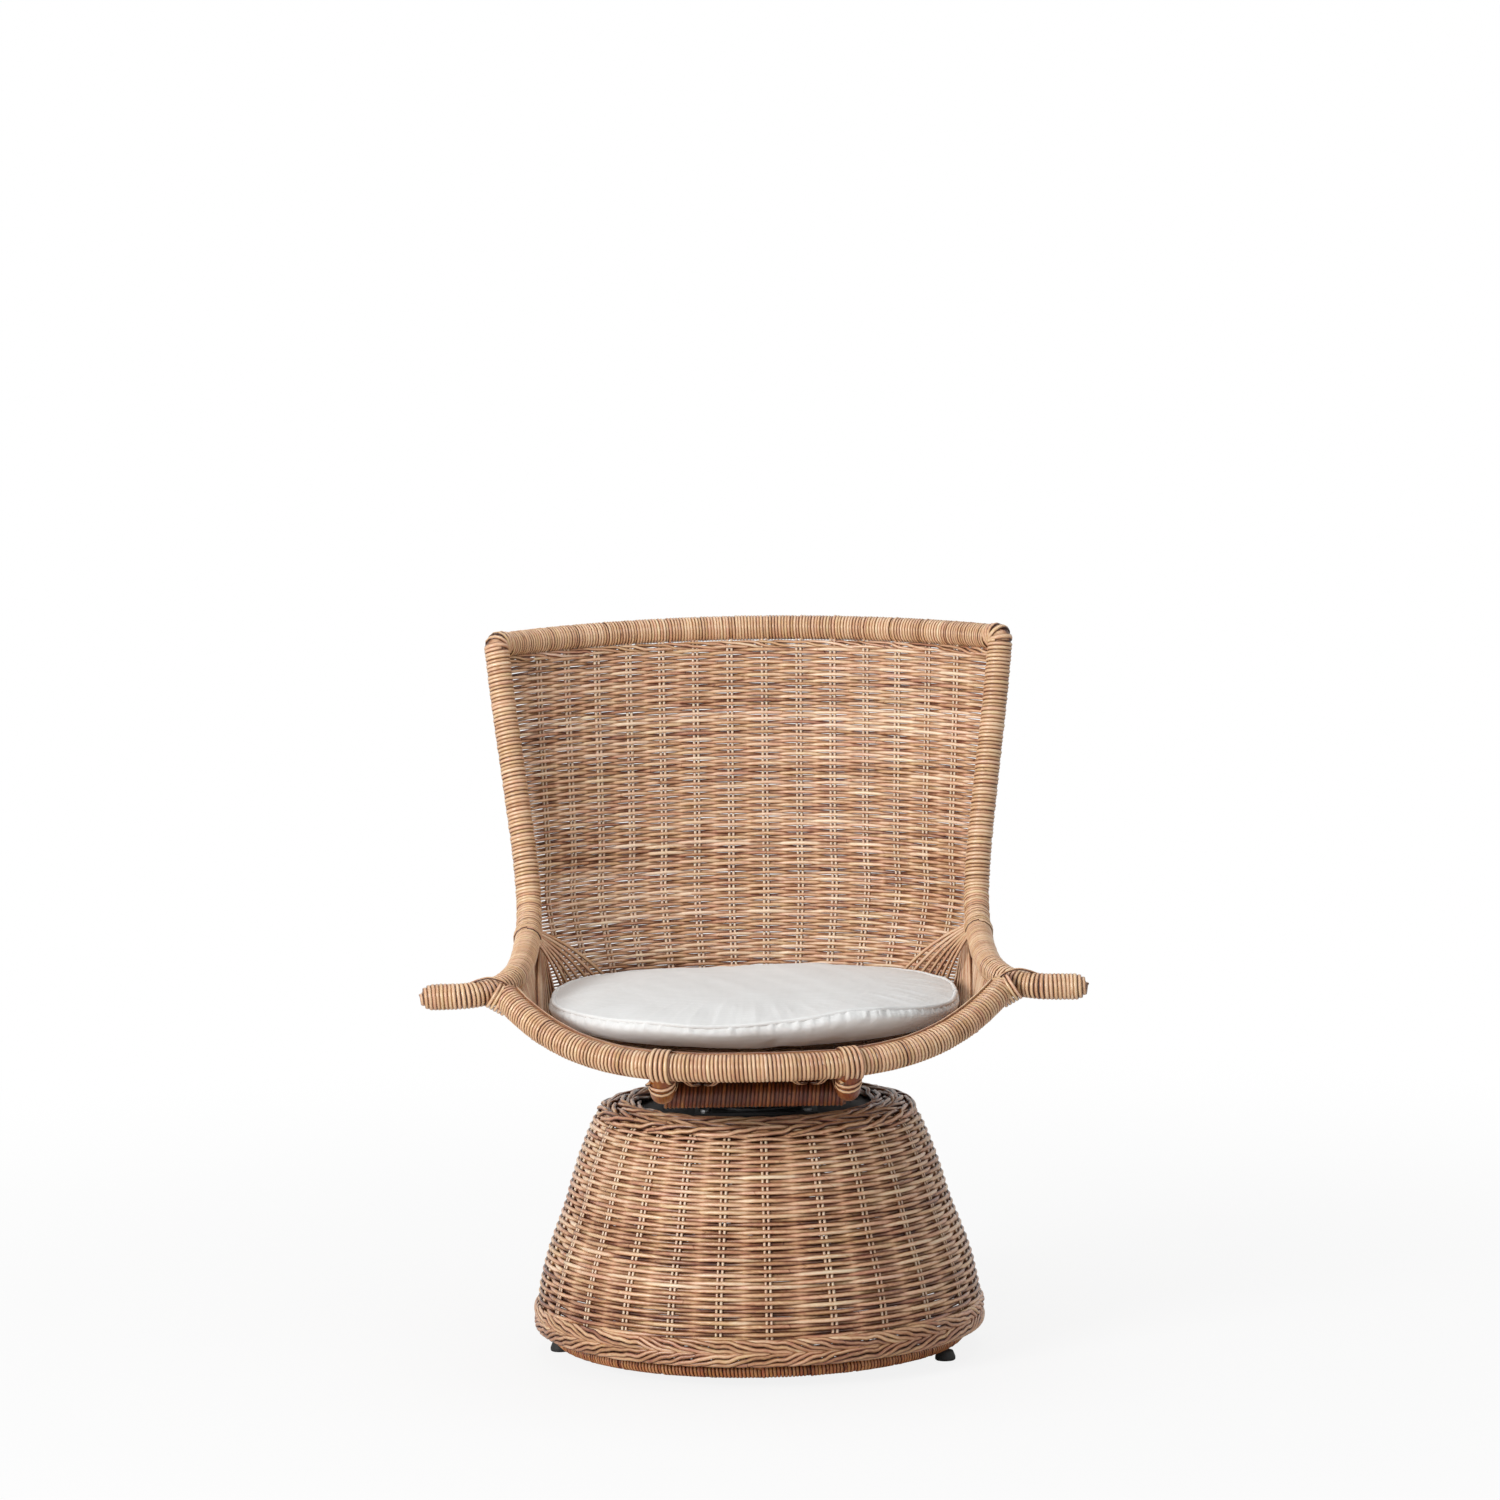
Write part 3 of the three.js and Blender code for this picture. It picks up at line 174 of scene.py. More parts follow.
# ------------------------------------------------------------------ meshes
def mesh_object(name: str, vertices: Array, faces: list[Array],
                values: dict[str, Array] | None = None) -> bpy.types.Object:
    """A smooth-shaded object from arrays.

    Args:
        name: Name of the object and its mesh.
        vertices: Rows of x, y, z in millimetres.
        faces: Arrays of vertex numbers, one row for each face, one array for each number of corners.
        values: Values at the vertices by attribute name, one number or three for each vertex.

    Returns:
        The object, in the scene.
    """
    mesh = bpy.data.meshes.new(name)
    mesh.vertices.add(len(vertices))
    mesh.vertices.foreach_set("co", (vertices * MM).astype(np.float32).ravel())
    corners = np.concatenate([f.ravel() for f in faces]).astype(np.int32)
    sizes = np.concatenate([np.full(len(f), f.shape[1]) for f in faces])
    mesh.loops.add(len(corners))
    mesh.loops.foreach_set("vertex_index", corners)
    mesh.polygons.add(len(sizes))
    mesh.polygons.foreach_set("loop_start", np.concatenate([[0], np.cumsum(sizes)[:-1]]).astype(np.int32))
    mesh.polygons.foreach_set("use_smooth", np.ones(len(sizes), bool))
    mesh.update(calc_edges=True)
    for key, data in (values or {}).items():
        kind, slot = ("FLOAT", "value") if data.ndim == 1 else ("FLOAT_VECTOR", "vector")
        mesh.attributes.new(key, kind, "POINT").data.foreach_set(slot, data.astype(np.float32).ravel())
    thing = bpy.data.objects.new(name, mesh)
    bpy.context.scene.collection.objects.link(thing)
    return thing


@dataclass
class Bundle:
    """Canes gathered as arrays until they become one mesh.

    Each vertex keeps four values: its tone, from 0 dark to 1 pale; its grain, which is how far along its cane
    it lies and where in the cane's section; its crest, which is 1 on the cane's outer face, 0 at its sides
    and -1 underneath, and from which the finish paints shade at the sides; and its hollow_shade, up to 1 where
    the cane bends away from the face that the vertex is on, which the finish paints as shade.
    """

    name: str
    seed: int = 1
    vertices: list[Array] = field(default_factory=list)
    quads: list[Array] = field(default_factory=list)
    caps: dict[int, list[Array]] = field(default_factory=dict)
    values: dict[str, list[Array]] = field(default_factory=dict)
    count: int = 0
    farthest: float = 5000.0

    def __post_init__(self) -> None:
        """Starts the seeded chance that gives each cane's grain its own start, up to the farthest."""
        self.rng = np.random.default_rng(self.seed)

    def lay(self, paths: Array, normals: Array, width: Array | float, depth: Array | float,
            tone: Array | float = 0.5, sides: int = 6, bend: Array | float = 0.0) -> None:
        """Adds canes that have the same number of points.

        A cane is an ellipse carried along its path p: p + w/2 cos(a) b + d/2 sin(a) n, where n is the given
        normal made square to the path and b is square to both. An even number of sides puts a flat on the
        crest, but six sides put an edge there, which looks rounder.

        Args:
            paths: Points, as (canes, points, 3) or (points, 3).
            normals: Outward directions, of a shape that fits the paths.
            width: Width along the surface, for all, for each cane or for each point.
            depth: Thickness along the normal, likewise.
            tone: Tone, likewise.
            sides: Faces round a cane.
            bend: How far each point is swung outwards, from -1 to 1. It only sets the painted shade of
                hollow_shade on
            the face that the cane bends away from.
        """
        p = np.asarray(paths, float)
        p = p if p.ndim == 3 else p[None]
        canes, points = p.shape[:2]
        t = unit(np.gradient(p, axis=1))
        b = unit(np.cross(t, np.broadcast_to(normals, p.shape)))
        n = np.cross(b, t)
        shift = 0.5 if sides % 2 == 0 and sides != 6 else 0.0
        angle = (np.arange(sides) + shift) * 2 * np.pi / sides + np.pi / 2
        given = (width, depth, tone, bend)
        width, depth, tone, bend = (self._spread(value, (canes, points)) for value in given)
        across, out = width / 2 * np.cos(angle), depth / 2 * np.sin(angle)
        ring = p[:, :, None] + across[..., None] * b[:, :, None] + out[..., None] * n[:, :, None]
        steps = np.linalg.norm(np.diff(p, axis=1), axis=-1)
        run = np.concatenate([np.zeros((canes, 1)), np.cumsum(steps, 1)], 1)
        run = run + self.rng.uniform(0, self.farthest, (canes, 1))
        grain = np.stack([np.broadcast_to(run[..., None], across.shape), across, out], -1)
        i, j = np.arange(points - 1)[:, None] * sides, np.arange(sides)[None]
        a0, a1 = i + j, i + (j + 1) % sides
        quad = np.stack([a0, a0 + sides, a1 + sides, a1], -1).reshape(-1, 4)
        start = self.count + np.arange(canes)[:, None, None] * points * sides
        self.quads.append((quad + start).reshape(-1, 4))
        foot = np.arange(sides)
        for cap in (foot, foot[::-1] + (points - 1) * sides):
            self.caps.setdefault(sides, []).append((cap + start[:, 0]).reshape(-1, sides))
        self.vertices.append(ring.reshape(-1, 3))
        values = {
            "tone": np.repeat(tone.ravel(), sides),
            "grain": grain.reshape(-1, 3),
            "crest": np.tile(np.sin(angle), canes * points),
            # Painted shade: hollow_shade darkens the face that a cane bends away from, behind a stake.
            "hollow_shade": np.maximum(-bend * np.sin(angle), 0).ravel(),
        }
        for key, value in values.items():
            self.values.setdefault(key, []).append(value)
        self.count += canes * points * sides

    @staticmethod
    def _spread(value: Array | float, shape: tuple[int, int]) -> Array:
        """Brings a value to one number for each point of each cane.

        Args:
            value: It, for all, for each cane or for each point.
            shape: Numbers of canes and of points.

        Returns:
            It, as (canes, points, 1).
        """
        value = np.asarray(value, float)
        value = value[:, None] if value.ndim == 1 else value
        return np.broadcast_to(value, shape)[..., None]

    def core(self, line: Line3, radius: float, tone: float = 0.06, sides: int = 14, steps: int = 40) -> None:
        """Adds a bare round pole, which may be covered by a winding, of so many sides and steps along it."""
        # Painted shade: the near-black default tone of a core stands for the shadow seen in the gaps between
        # the turns of a winding.
        s = np.linspace(0, line.length, steps)
        self.lay(line.at(s), line.frame(s)[0], 2 * radius, 2 * radius, tone, sides)

    def make(self, body: str, finish: "Finish", slot: str, replaces: tuple[str, ...] = ()) -> None:
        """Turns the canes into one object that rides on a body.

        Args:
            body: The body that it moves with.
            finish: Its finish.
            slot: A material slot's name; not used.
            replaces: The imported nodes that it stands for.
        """
        faces = [np.concatenate(self.quads)] + [np.concatenate(v) for v in self.caps.values()]
        values = {key: np.concatenate(parts) for key, parts in self.values.items()}
        thing = mesh_object(self.name, np.concatenate(self.vertices), faces, values)
        place_piece(thing, body, finish, replaces)


def place_piece(thing: bpy.types.Object, body: str, finish: "Finish",
                replaces: tuple[str, ...] = ()) -> None:
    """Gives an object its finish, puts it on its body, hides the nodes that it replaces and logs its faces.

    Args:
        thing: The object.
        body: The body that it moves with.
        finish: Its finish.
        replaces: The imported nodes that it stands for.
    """
    thing.data.materials.clear()
    thing.data.materials.append(finish.material())
    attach(thing, body)
    if replaces:
        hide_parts(*replaces)
    log.info("%s: %d faces", thing.name, len(thing.data.polygons))


# ------------------------------------------------------------------ ways of laying cane
@dataclass(frozen=True)
class Winding:
    """Flat cane wound closely round a pole.

    The last four fields say how uneven its turns are: how far one strays along the pole, as a share of the
    pitch, how far it stands off, and how much the tone drifts over how many turns.
    """

    radius: float
    pitch: float
    depth: float = 3.2
    cover: float = 0.98
    per_turn: int = 14
    tone: float = 0.5
    spread: float = 0.04
    lean: float = 0.0
    sides: int = 6
    mark_depth: float = 1.3
    stray: float = 0.05
    stand_off: float = 0.12
    drift: float = 0.06
    drift_turns: float = 14.0

    def wind(self, bundle: Bundle, line: Line3, start: float = 0.0, end: float | None = None,
             marks: Array | None = None, swell: Array | None = None) -> None:
        """Winds one unbroken cane round a line.

        At length s the cane lies at angle 2 pi s / pitch round the line, with its outer face at the radius.
        Each turn has its own tone, width and slight lean.

        Args:
            bundle: The canes to add to.
            line: Middle line of the pole.
            start: Where the winding starts, from the line's start.
            end: Where it ends, or None for the line's end.
            marks: Places at which one turn is sunk and darkened with painted shade and the next stands proud
                and a touch
            paler with painted light, where a stake comes over the pole.
            swell: Radius factors spread evenly over the winding, for rounded ends.
        """
        end = line.length if end is None else end
        turns = max(2, round((end - start) / self.pitch))
        turn = np.linspace(0, turns, turns * self.per_turn + 1)
        whole = np.minimum(turn.astype(int), turns - 1)
        chance = bundle.rng.normal(0, 1, (4, turns + 1))
        blend = turn - whole
        ease = blend * blend * (3 - 2 * blend)
        following = np.minimum(whole + 1, turns)
        along, off, shade, wide = chance[:, whole] * (1 - ease) + chance[:, following] * ease
        pitch = (end - start) / turns
        angle = 2 * np.pi * turn
        s = start + turn * pitch + self.stray * pitch * along + self.lean * pitch * np.cos(angle)
        s = np.clip(s, 0, line.length)
        radius = self.radius - self.depth / 2 + self.stand_off * off
        tone = self.tone + self.spread * shade
        tone = tone + self.drift * smooth_noise(turn / self.drift_turns, bundle.seed + 3)
        if marks is not None:
            half_width, next_turn = 0.55 * pitch, 2.2
            away = ((start + turn * pitch)[:, None] - marks[None]) / half_width
            sunk, proud = np.exp(-away**2).max(1), np.exp(-((away - next_turn) ** 2)).max(1)
            radius = radius - self.mark_depth * (sunk - 0.6 * proud)
            # Painted shade on the sunk turn, as deep as it sinks, and painted light on the proud turn.
            tone = tone - 0.3 * self.mark_depth * sunk + 0.05 * proud
        if swell is not None:
            radius = radius * np.interp(turn / turns, np.linspace(0, 1, len(swell)), swell)
        up, side = line.frame(s)
        radial = np.cos(angle)[:, None] * up + np.sin(angle)[:, None] * side
        path = line.at(s) + radius[:, None] * radial
        width = pitch * self.cover * (1 + self.stray * wide)
        bundle.lay(path, radial, width[None], self.depth, tone[None], self.sides)


@dataclass(frozen=True)
class Rope:
    """Canes twisted together along a border.

    The last fields say how uneven it is: how far the twist wavers, in turns, how much the canes' tones
    differ, how much each tone drifts, and over what lengths the twist and the tones do so.
    """

    canes: int
    period: float
    across: float
    deep: float
    diameter: float
    sense: int = 1
    tone: float = 0.5
    waver: float = 0.12
    waver_run: float = 90.0
    spread: float = 0.08
    drift: float = 0.18
    drift_run: float = 210.0

    def twist(self, bundle: Bundle, middle: Array, across: Array, out: Array, step: float) -> None:
        """Lays the rope's canes.

        Cane k lies at middle + A cos(f) across + D sin(f) out with f = 2 pi (s / period + k / canes). Its
        normal leans the way the cane lies in the rope.

        Args:
            bundle: The canes to add to.
            middle: Points of the rope's middle line.
            across: Direction of the border's width at each point.
            out: Outward direction at each point.
            step: Distance between points.
        """
        s = np.arange(len(middle)) * step
        wobble = self.waver * smooth_noise(s / self.waver_run, bundle.seed + 5)
        for k in range(self.canes):
            f = self.sense * 2 * np.pi * (s / self.period + wobble) + 2 * np.pi * k / self.canes
            cos, sin = np.cos(f)[:, None], np.sin(f)[:, None]
            path = middle + self.across * cos * across + self.deep * sin * out
            shade = self.tone + bundle.rng.normal(0, self.spread)
            shade = shade + self.drift * smooth_noise(s / self.drift_run, bundle.seed + 11 * k)
            normal = unit(0.6 * out + sin * out + 0.4 * cos * across)
            bundle.lay(path, normal, self.diameter, self.diameter * 0.94, shade[None], 6)


# ------------------------------------------------------------------ finishes
Socket = bpy.types.NodeSocket
Colour = tuple[float, float, float]


class Nodes:
    """A material's nodes as they are put together."""

    def __init__(self, name: str) -> None:
        """Starts a material with one shader.

        Args:
            name: Its name.
        """
        self.material = bpy.data.materials.new(name)
        self.material.use_nodes = True
        self.tree = self.material.node_tree
        self.tree.nodes.clear()
        self.shader = self.add("BsdfPrincipled")
        self.output = self.add("OutputMaterial")
        self.wire(self.shader.outputs[0], self.output.inputs["Surface"])

    def add(self, kind: str, **settings: object) -> bpy.types.Node:
        """Makes a node.

        Args:
            kind: Its kind, without the words that every kind starts with.
            settings: What is set on it, by name.

        Returns:
            The node.
        """
        node = self.tree.nodes.new("ShaderNode" + kind)
        for key, value in settings.items():
            setattr(node, key, value)
        return node

    def wire(self, source: Socket, target: Socket) -> None:
        """Links two sockets."""
        self.tree.links.new(source, target)

    def math(self, operation: str, a: Socket | float, b: Socket | float = 0.0) -> Socket:
        """Works something out from two values.

        Args:
            operation: Name of the operation.
            a: Its first value, a socket or a number.
            b: Its second value, likewise.

        Returns:
            The result.
        """
        node = self.add("Math", operation=operation)
        for socket, value in zip(node.inputs, (a, b)):
            if isinstance(value, Socket):
                self.wire(value, socket)
            else:
                socket.default_value = value
        return node.outputs[0]

    def value(self, name: str, output: str = "Fac") -> Socket:
        """A value that the vertices keep, as a number, or as three where the output is Vector."""
        return self.add("Attribute", attribute_name=name).outputs[output]

    def noise(self, vector: Socket, stretch: tuple[float, float, float], detail: float = 2.0) -> Socket:
        """A smooth chance value.

        Args:
            vector: Where it is read.
            stretch: What each axis is scaled by before that, in waves to a millimetre.
            detail: How many finer waves are added.

        Returns:
            A value from -0.5 to 0.5.
        """
        mapping = self.add("Mapping")
        mapping.inputs["Scale"].default_value = stretch
        self.wire(vector, mapping.inputs["Vector"])
        node = self.add("TexNoise")
        node.inputs["Scale"].default_value = 1.0
        node.inputs["Detail"].default_value = detail
        self.wire(mapping.outputs[0], node.inputs["Vector"])
        return self.math("SUBTRACT", node.outputs[0], 0.5)

    def weigh(self, start: Socket | float, *parts: tuple[Socket, float]) -> Socket:
        """Adds parts to a start.

        Args:
            start: The start value.
            parts: Each part and its weight.

        Returns:
            The start plus each part times its weight.
        """
        for part, weight in parts:
            start = self.math("ADD", start, self.math("MULTIPLY", part, weight))
        return start

    def ramp(self, value: Socket, stops: tuple[tuple[float, Colour], ...]) -> Socket:
        """Turns a value into a colour.

        Args:
            value: The value.
            stops: Values and their colours. Colours between them are mixed.

        Returns:
            The colour.
        """
        node = self.add("ValToRGB")
        elements = node.color_ramp.elements
        while len(elements) < len(stops):
            elements.new(0.5)
        for element, (place, colour) in zip(elements, stops):
            element.position = place
            element.color = (*colour, 1.0)
        self.wire(value, node.inputs[0])
        return node.outputs[0]

    def range(self, value: Socket, low: float, high: float, to_low: float, to_high: float) -> Socket:
        """Carries a value smoothly from one range to another.

        Args:
            value: The value.
            low: Start of the first range.
            high: Its end.
            to_low: Start of the second range.
            to_high: Its end.

        Returns:
            The value in the second range.
        """
        node = self.add("MapRange", interpolation_type="SMOOTHSTEP")
        for socket, number in zip(node.inputs[1:5], (low, high, to_low, to_high)):
            socket.default_value = number
        self.wire(value, node.inputs[0])
        return node.outputs[0]

    def bump(self, height: Socket, strength: float, distance: float) -> None:
        """Roughens the shader's surface.

        Args:
            height: How high it is.
            strength: How much of that shows, from 0 to 1.
            distance: Millimetres that a height of 1 stands for.
        """
        node = self.add("Bump")
        node.inputs["Strength"].default_value = strength
        node.inputs["Distance"].default_value = distance * MM
        self.wire(height, node.inputs["Height"])
        self.wire(node.outputs[0], self.shader.inputs["Normal"])

    def coat(self, colour: Socket, grain: Socket, weight: float, roughness: float) -> None:
        """Gives the shader its colour, and a roughness that a grain makes uneven.

        Args:
            colour: The colour.
            grain: The grain.
            weight: How much of it is added to the roughness.
            roughness: Mean roughness.
        """
        self.wire(colour, self.shader.inputs["Base Color"])
        rough = self.math("ADD", self.math("MULTIPLY", grain, weight), roughness)
        self.wire(rough, self.shader.inputs["Roughness"])

    def set(self, values: dict[str, float]) -> None:
        """Sets the shader's inputs by their names."""
        for name, value in values.items():
            self.shader.inputs[name].default_value = value

    def place(self) -> Socket:
        """Makes the nodes for a place on the object.

        Returns:
            The object coordinates in millimetres.
        """
        node = self.add("VectorMath", operation="SCALE")
        self.wire(self.add("TexCoord").outputs["Object"], node.inputs[0])
        node.inputs["Scale"].default_value = 1 / MM
        return node.outputs[0]


class Shade(Enum):
    """How far cane is stained from its natural colour: the value added to its tone."""

    NATURAL = 0.06
    STAINED = -0.06
    SMOOTH_SKIN = 0.06


@dataclass(frozen=True)
class Finish:
    """A finish, whose material is made once."""

    name: str

    def material(self) -> bpy.types.Material:
        """Makes the material, or finds it again.

        Returns:
            The material.
        """
        if self.name not in bpy.data.materials:
            self.paint(Nodes(self.name))
        return bpy.data.materials[self.name]

    def paint(self, n: Nodes) -> None:
        """Puts the material's nodes together, in each kind of finish its own way."""
        raise NotImplementedError


@dataclass(frozen=True)
class Cane(Finish):
    """Cane under satin varnish.

    Its colour runs from dark brown to straw with the tone that each cane carries. Streaks follow the grain,
    stains break it up, and dark rings mark the joints of the stem. Painted shade darkens each cane's sides,
    where canes touch, and the faces that bend away behind a stake, and a painted highlight makes the crest a
    touch paler; the groove_shade says how strong this painted light and shade are. The figure says how strong
    the streaks and stains are, and warmth and hue turn the colour.
    """

    shade: Shade = Shade.NATURAL
    roughness: float = 0.42
    joint_every: float = 230.0
    figure: float = 1.0
    warmth: float = 1.0
    hue: float = 0.491
    # groove_shade weighs the painted shade at cane sides and hollows; below zero it darkens them.
    groove_shade: float = -0.5
    colours: tuple[tuple[float, Colour], ...] = (
        (0.0, (0.08, 0.036, 0.02)), (0.22, (0.23, 0.115, 0.062)), (0.45, (0.5, 0.3, 0.17)),
        (0.68, (0.74, 0.505, 0.32)), (1.0, (0.93, 0.76, 0.57)))

    def paint(self, n: Nodes) -> None:
        """Puts the material's nodes together.

        The place on the colour scale is tone + shade + f (0.3 streak + 0.45 patch + 0.4 stain) - 0.2 joint +
        g side + 0.8 g hollow_shade, with f the figure and g the groove_shade. The g terms are painted shade at
        the cane's sides and where it bends away behind a stake, and a slight painted highlight on its crest.

        Args:
            n: The nodes of its material.
        """
        grain = n.value("grain", "Vector")
        streak = n.noise(grain, (0.02, 1.1, 1.1), 3.0)
        patch = n.noise(grain, (0.011, 0.04, 0.04), 1.0)
        stain = n.noise(grain, (0.16, 0.5, 0.5), 3.0)
        run = n.add("SeparateXYZ").outputs[0]
        n.wire(grain, run.node.inputs[0])
        place = n.math("ADD", n.math("DIVIDE", run, self.joint_every), patch)
        off_joint = n.math("ABSOLUTE", n.math("SUBTRACT", n.math("FRACT", place), 0.5))
        joint = n.range(off_joint, 0.002, 0.009, 1.0, 0.0)
        # Painted shade: side is 1 at a cane's sides, where canes touch, and -0.2 on its crest, so a negative
        # groove_shade darkens the sides and paints a slight highlight on the crest.
        side = n.range(n.math("ABSOLUTE", n.value("crest")), 0.15, 0.95, 1.0, -0.2)
        value = n.weigh(
            n.math("ADD", n.value("tone"), self.shade.value), (streak, 0.3 * self.figure),
            (patch, 0.45 * self.figure), (stain, 0.4 * self.figure), (joint, -0.2), (side, self.groove_shade),
            (n.value("hollow_shade"), 0.8 * self.groove_shade))
        turned = n.add("HueSaturation")
        hue = n.math("ADD", n.math("MULTIPLY", patch, 0.06), self.hue)
        n.wire(n.weigh(hue, (stain, 0.05)), turned.inputs["Hue"])
        n.wire(n.math("ADD", n.math("MULTIPLY", streak, -0.5), self.warmth), turned.inputs["Saturation"])
        n.wire(n.ramp(value, self.colours), turned.inputs["Color"])
        n.coat(turned.outputs[0], stain, -0.35, self.roughness)
        n.set({"Coat Weight": 0.2, "Coat Roughness": 0.26})
        n.bump(n.weigh(streak, (joint, 1.5)), 0.35, 0.25)


@dataclass(frozen=True)
class Timber(Finish):
    """Plain wood of a hidden rail, with grain along its length."""

    dark: Colour
    light: Colour
    roughness: float = 0.6

    def paint(self, n: Nodes) -> None:
        """Puts the material's nodes together: long fibres in darker and lighter clouds.

        Args:
            n: The nodes of its material.
        """
        place = n.place()
        fibre = n.noise(place, (0.012, 0.5, 0.5), 4.0)
        cloud = n.noise(place, (0.01, 0.03, 0.03), 2.0)
        value = n.math("ADD", n.weigh(fibre, (cloud, 0.8)), 0.5)
        n.coat(n.ramp(value, ((0.2, self.dark), (0.8, self.light))), fibre, 0.3, self.roughness)
        n.bump(fibre, 0.3, 0.3)


@dataclass(frozen=True)
class Coating(Finish):
    """Paint, powder coat, plating or moulded plastic: one colour with a fine grain and rubbed patches."""

    colour: Colour
    worn: Colour
    roughness: float
    metallic: float = 0.0
    grain: float = 1.2

    def paint(self, n: Nodes) -> None:
        """Puts the material's nodes together: a fine grain over wide patches.

        Args:
            n: The nodes of its material.
        """
        place = n.place()
        fine = n.noise(place, (self.grain,) * 3, 2.0)
        patch = n.noise(place, (0.05, 0.05, 0.05), 4.0)
        value = n.math("ADD", n.weigh(patch, (fine, 0.5)), 0.5)
        n.coat(n.ramp(value, ((0.35, self.colour), (0.85, self.worn))), patch, 0.25, self.roughness)
        n.set({"Metallic": self.metallic})
        n.bump(fine, 0.25, 0.15)


@dataclass(frozen=True)
class Linen(Finish):
    """Off-white plain-weave linen: crossing threads, thick in places, with a soft sheen."""

    thread: float = 1.3
    shade: Colour = (0.75, 0.75, 0.735)
    light: Colour = (0.84, 0.842, 0.836)
    roughness: float = 0.85

    def paint(self, n: Nodes) -> None:
        """Puts the material's nodes together: a sine across each axis for threads, with slubs and clouds.

        Args:
            n: The nodes of its material.
        """
        place = n.place()
        axes = n.add("SeparateXYZ").outputs
        n.wire(place, axes[0].node.inputs[0])
        waver = n.math("MULTIPLY", n.noise(place, (0.35, 0.35, 0.35), 2.0), 3.0)
        threads = []
        for axis in axes:
            turn = n.math("MULTIPLY", axis, 2 * math.pi / self.thread)
            threads.append(n.math("SINE", n.math("ADD", turn, waver)))
        cloth = n.weigh(threads[0], (threads[1], 1.0), (threads[2], 1.0))
        slub = n.noise(place, (0.05, 0.9, 0.05), 3.0)
        cloud = n.noise(place, (0.02, 0.02, 0.02), 2.0)
        value = n.math("ADD", n.weigh(n.math("MULTIPLY", cloth, 0.05), (slub, 0.6), (cloud, 0.5)), 0.5)
        n.coat(n.ramp(value, ((0.1, self.shade), (0.7, self.light))), slub, 0.1, self.roughness)
        n.set({"Sheen Weight": 0.15, "Sheen Roughness": 0.5})
        n.bump(n.weigh(cloth, (slub, 1.2)), 0.4, 0.12)


WOVEN = Cane("woven_cane", roughness=0.4, warmth=1.12)
WOUND = Cane("wound_cane", roughness=0.36, joint_every=410, figure=0.55, warmth=1.12, hue=0.495, groove_shade=-0.66)
STAINED = Cane("stained_cane", Shade.STAINED, 0.5, figure=0.6, warmth=1.32, hue=0.483, groove_shade=-0.36)
SKIN = Cane("smooth_pole", Shade.SMOOTH_SKIN, 0.36, 130.0, figure=0.7, warmth=1.4, hue=0.485, groove_shade=0.0)
DEAL = Timber("hidden_timber", (0.16, 0.09, 0.05), (0.33, 0.2, 0.12))
BLACK_BOARD = Coating("black_board", (0.014, 0.014, 0.014), (0.03, 0.029, 0.028), 0.62)
POWDER_COAT = Coating("swivel_coat", (0.018, 0.018, 0.019), (0.045, 0.044, 0.043), 0.42, 0.2)
ZINC = Coating("zinc_plate", (0.2, 0.2, 0.205), (0.36, 0.36, 0.35), 0.45, 1.0)
PLASTIC = Coating("glide_plastic", (0.012, 0.012, 0.013), (0.03, 0.03, 0.03), 0.45)
LINEN = Linen("linen_cloth")


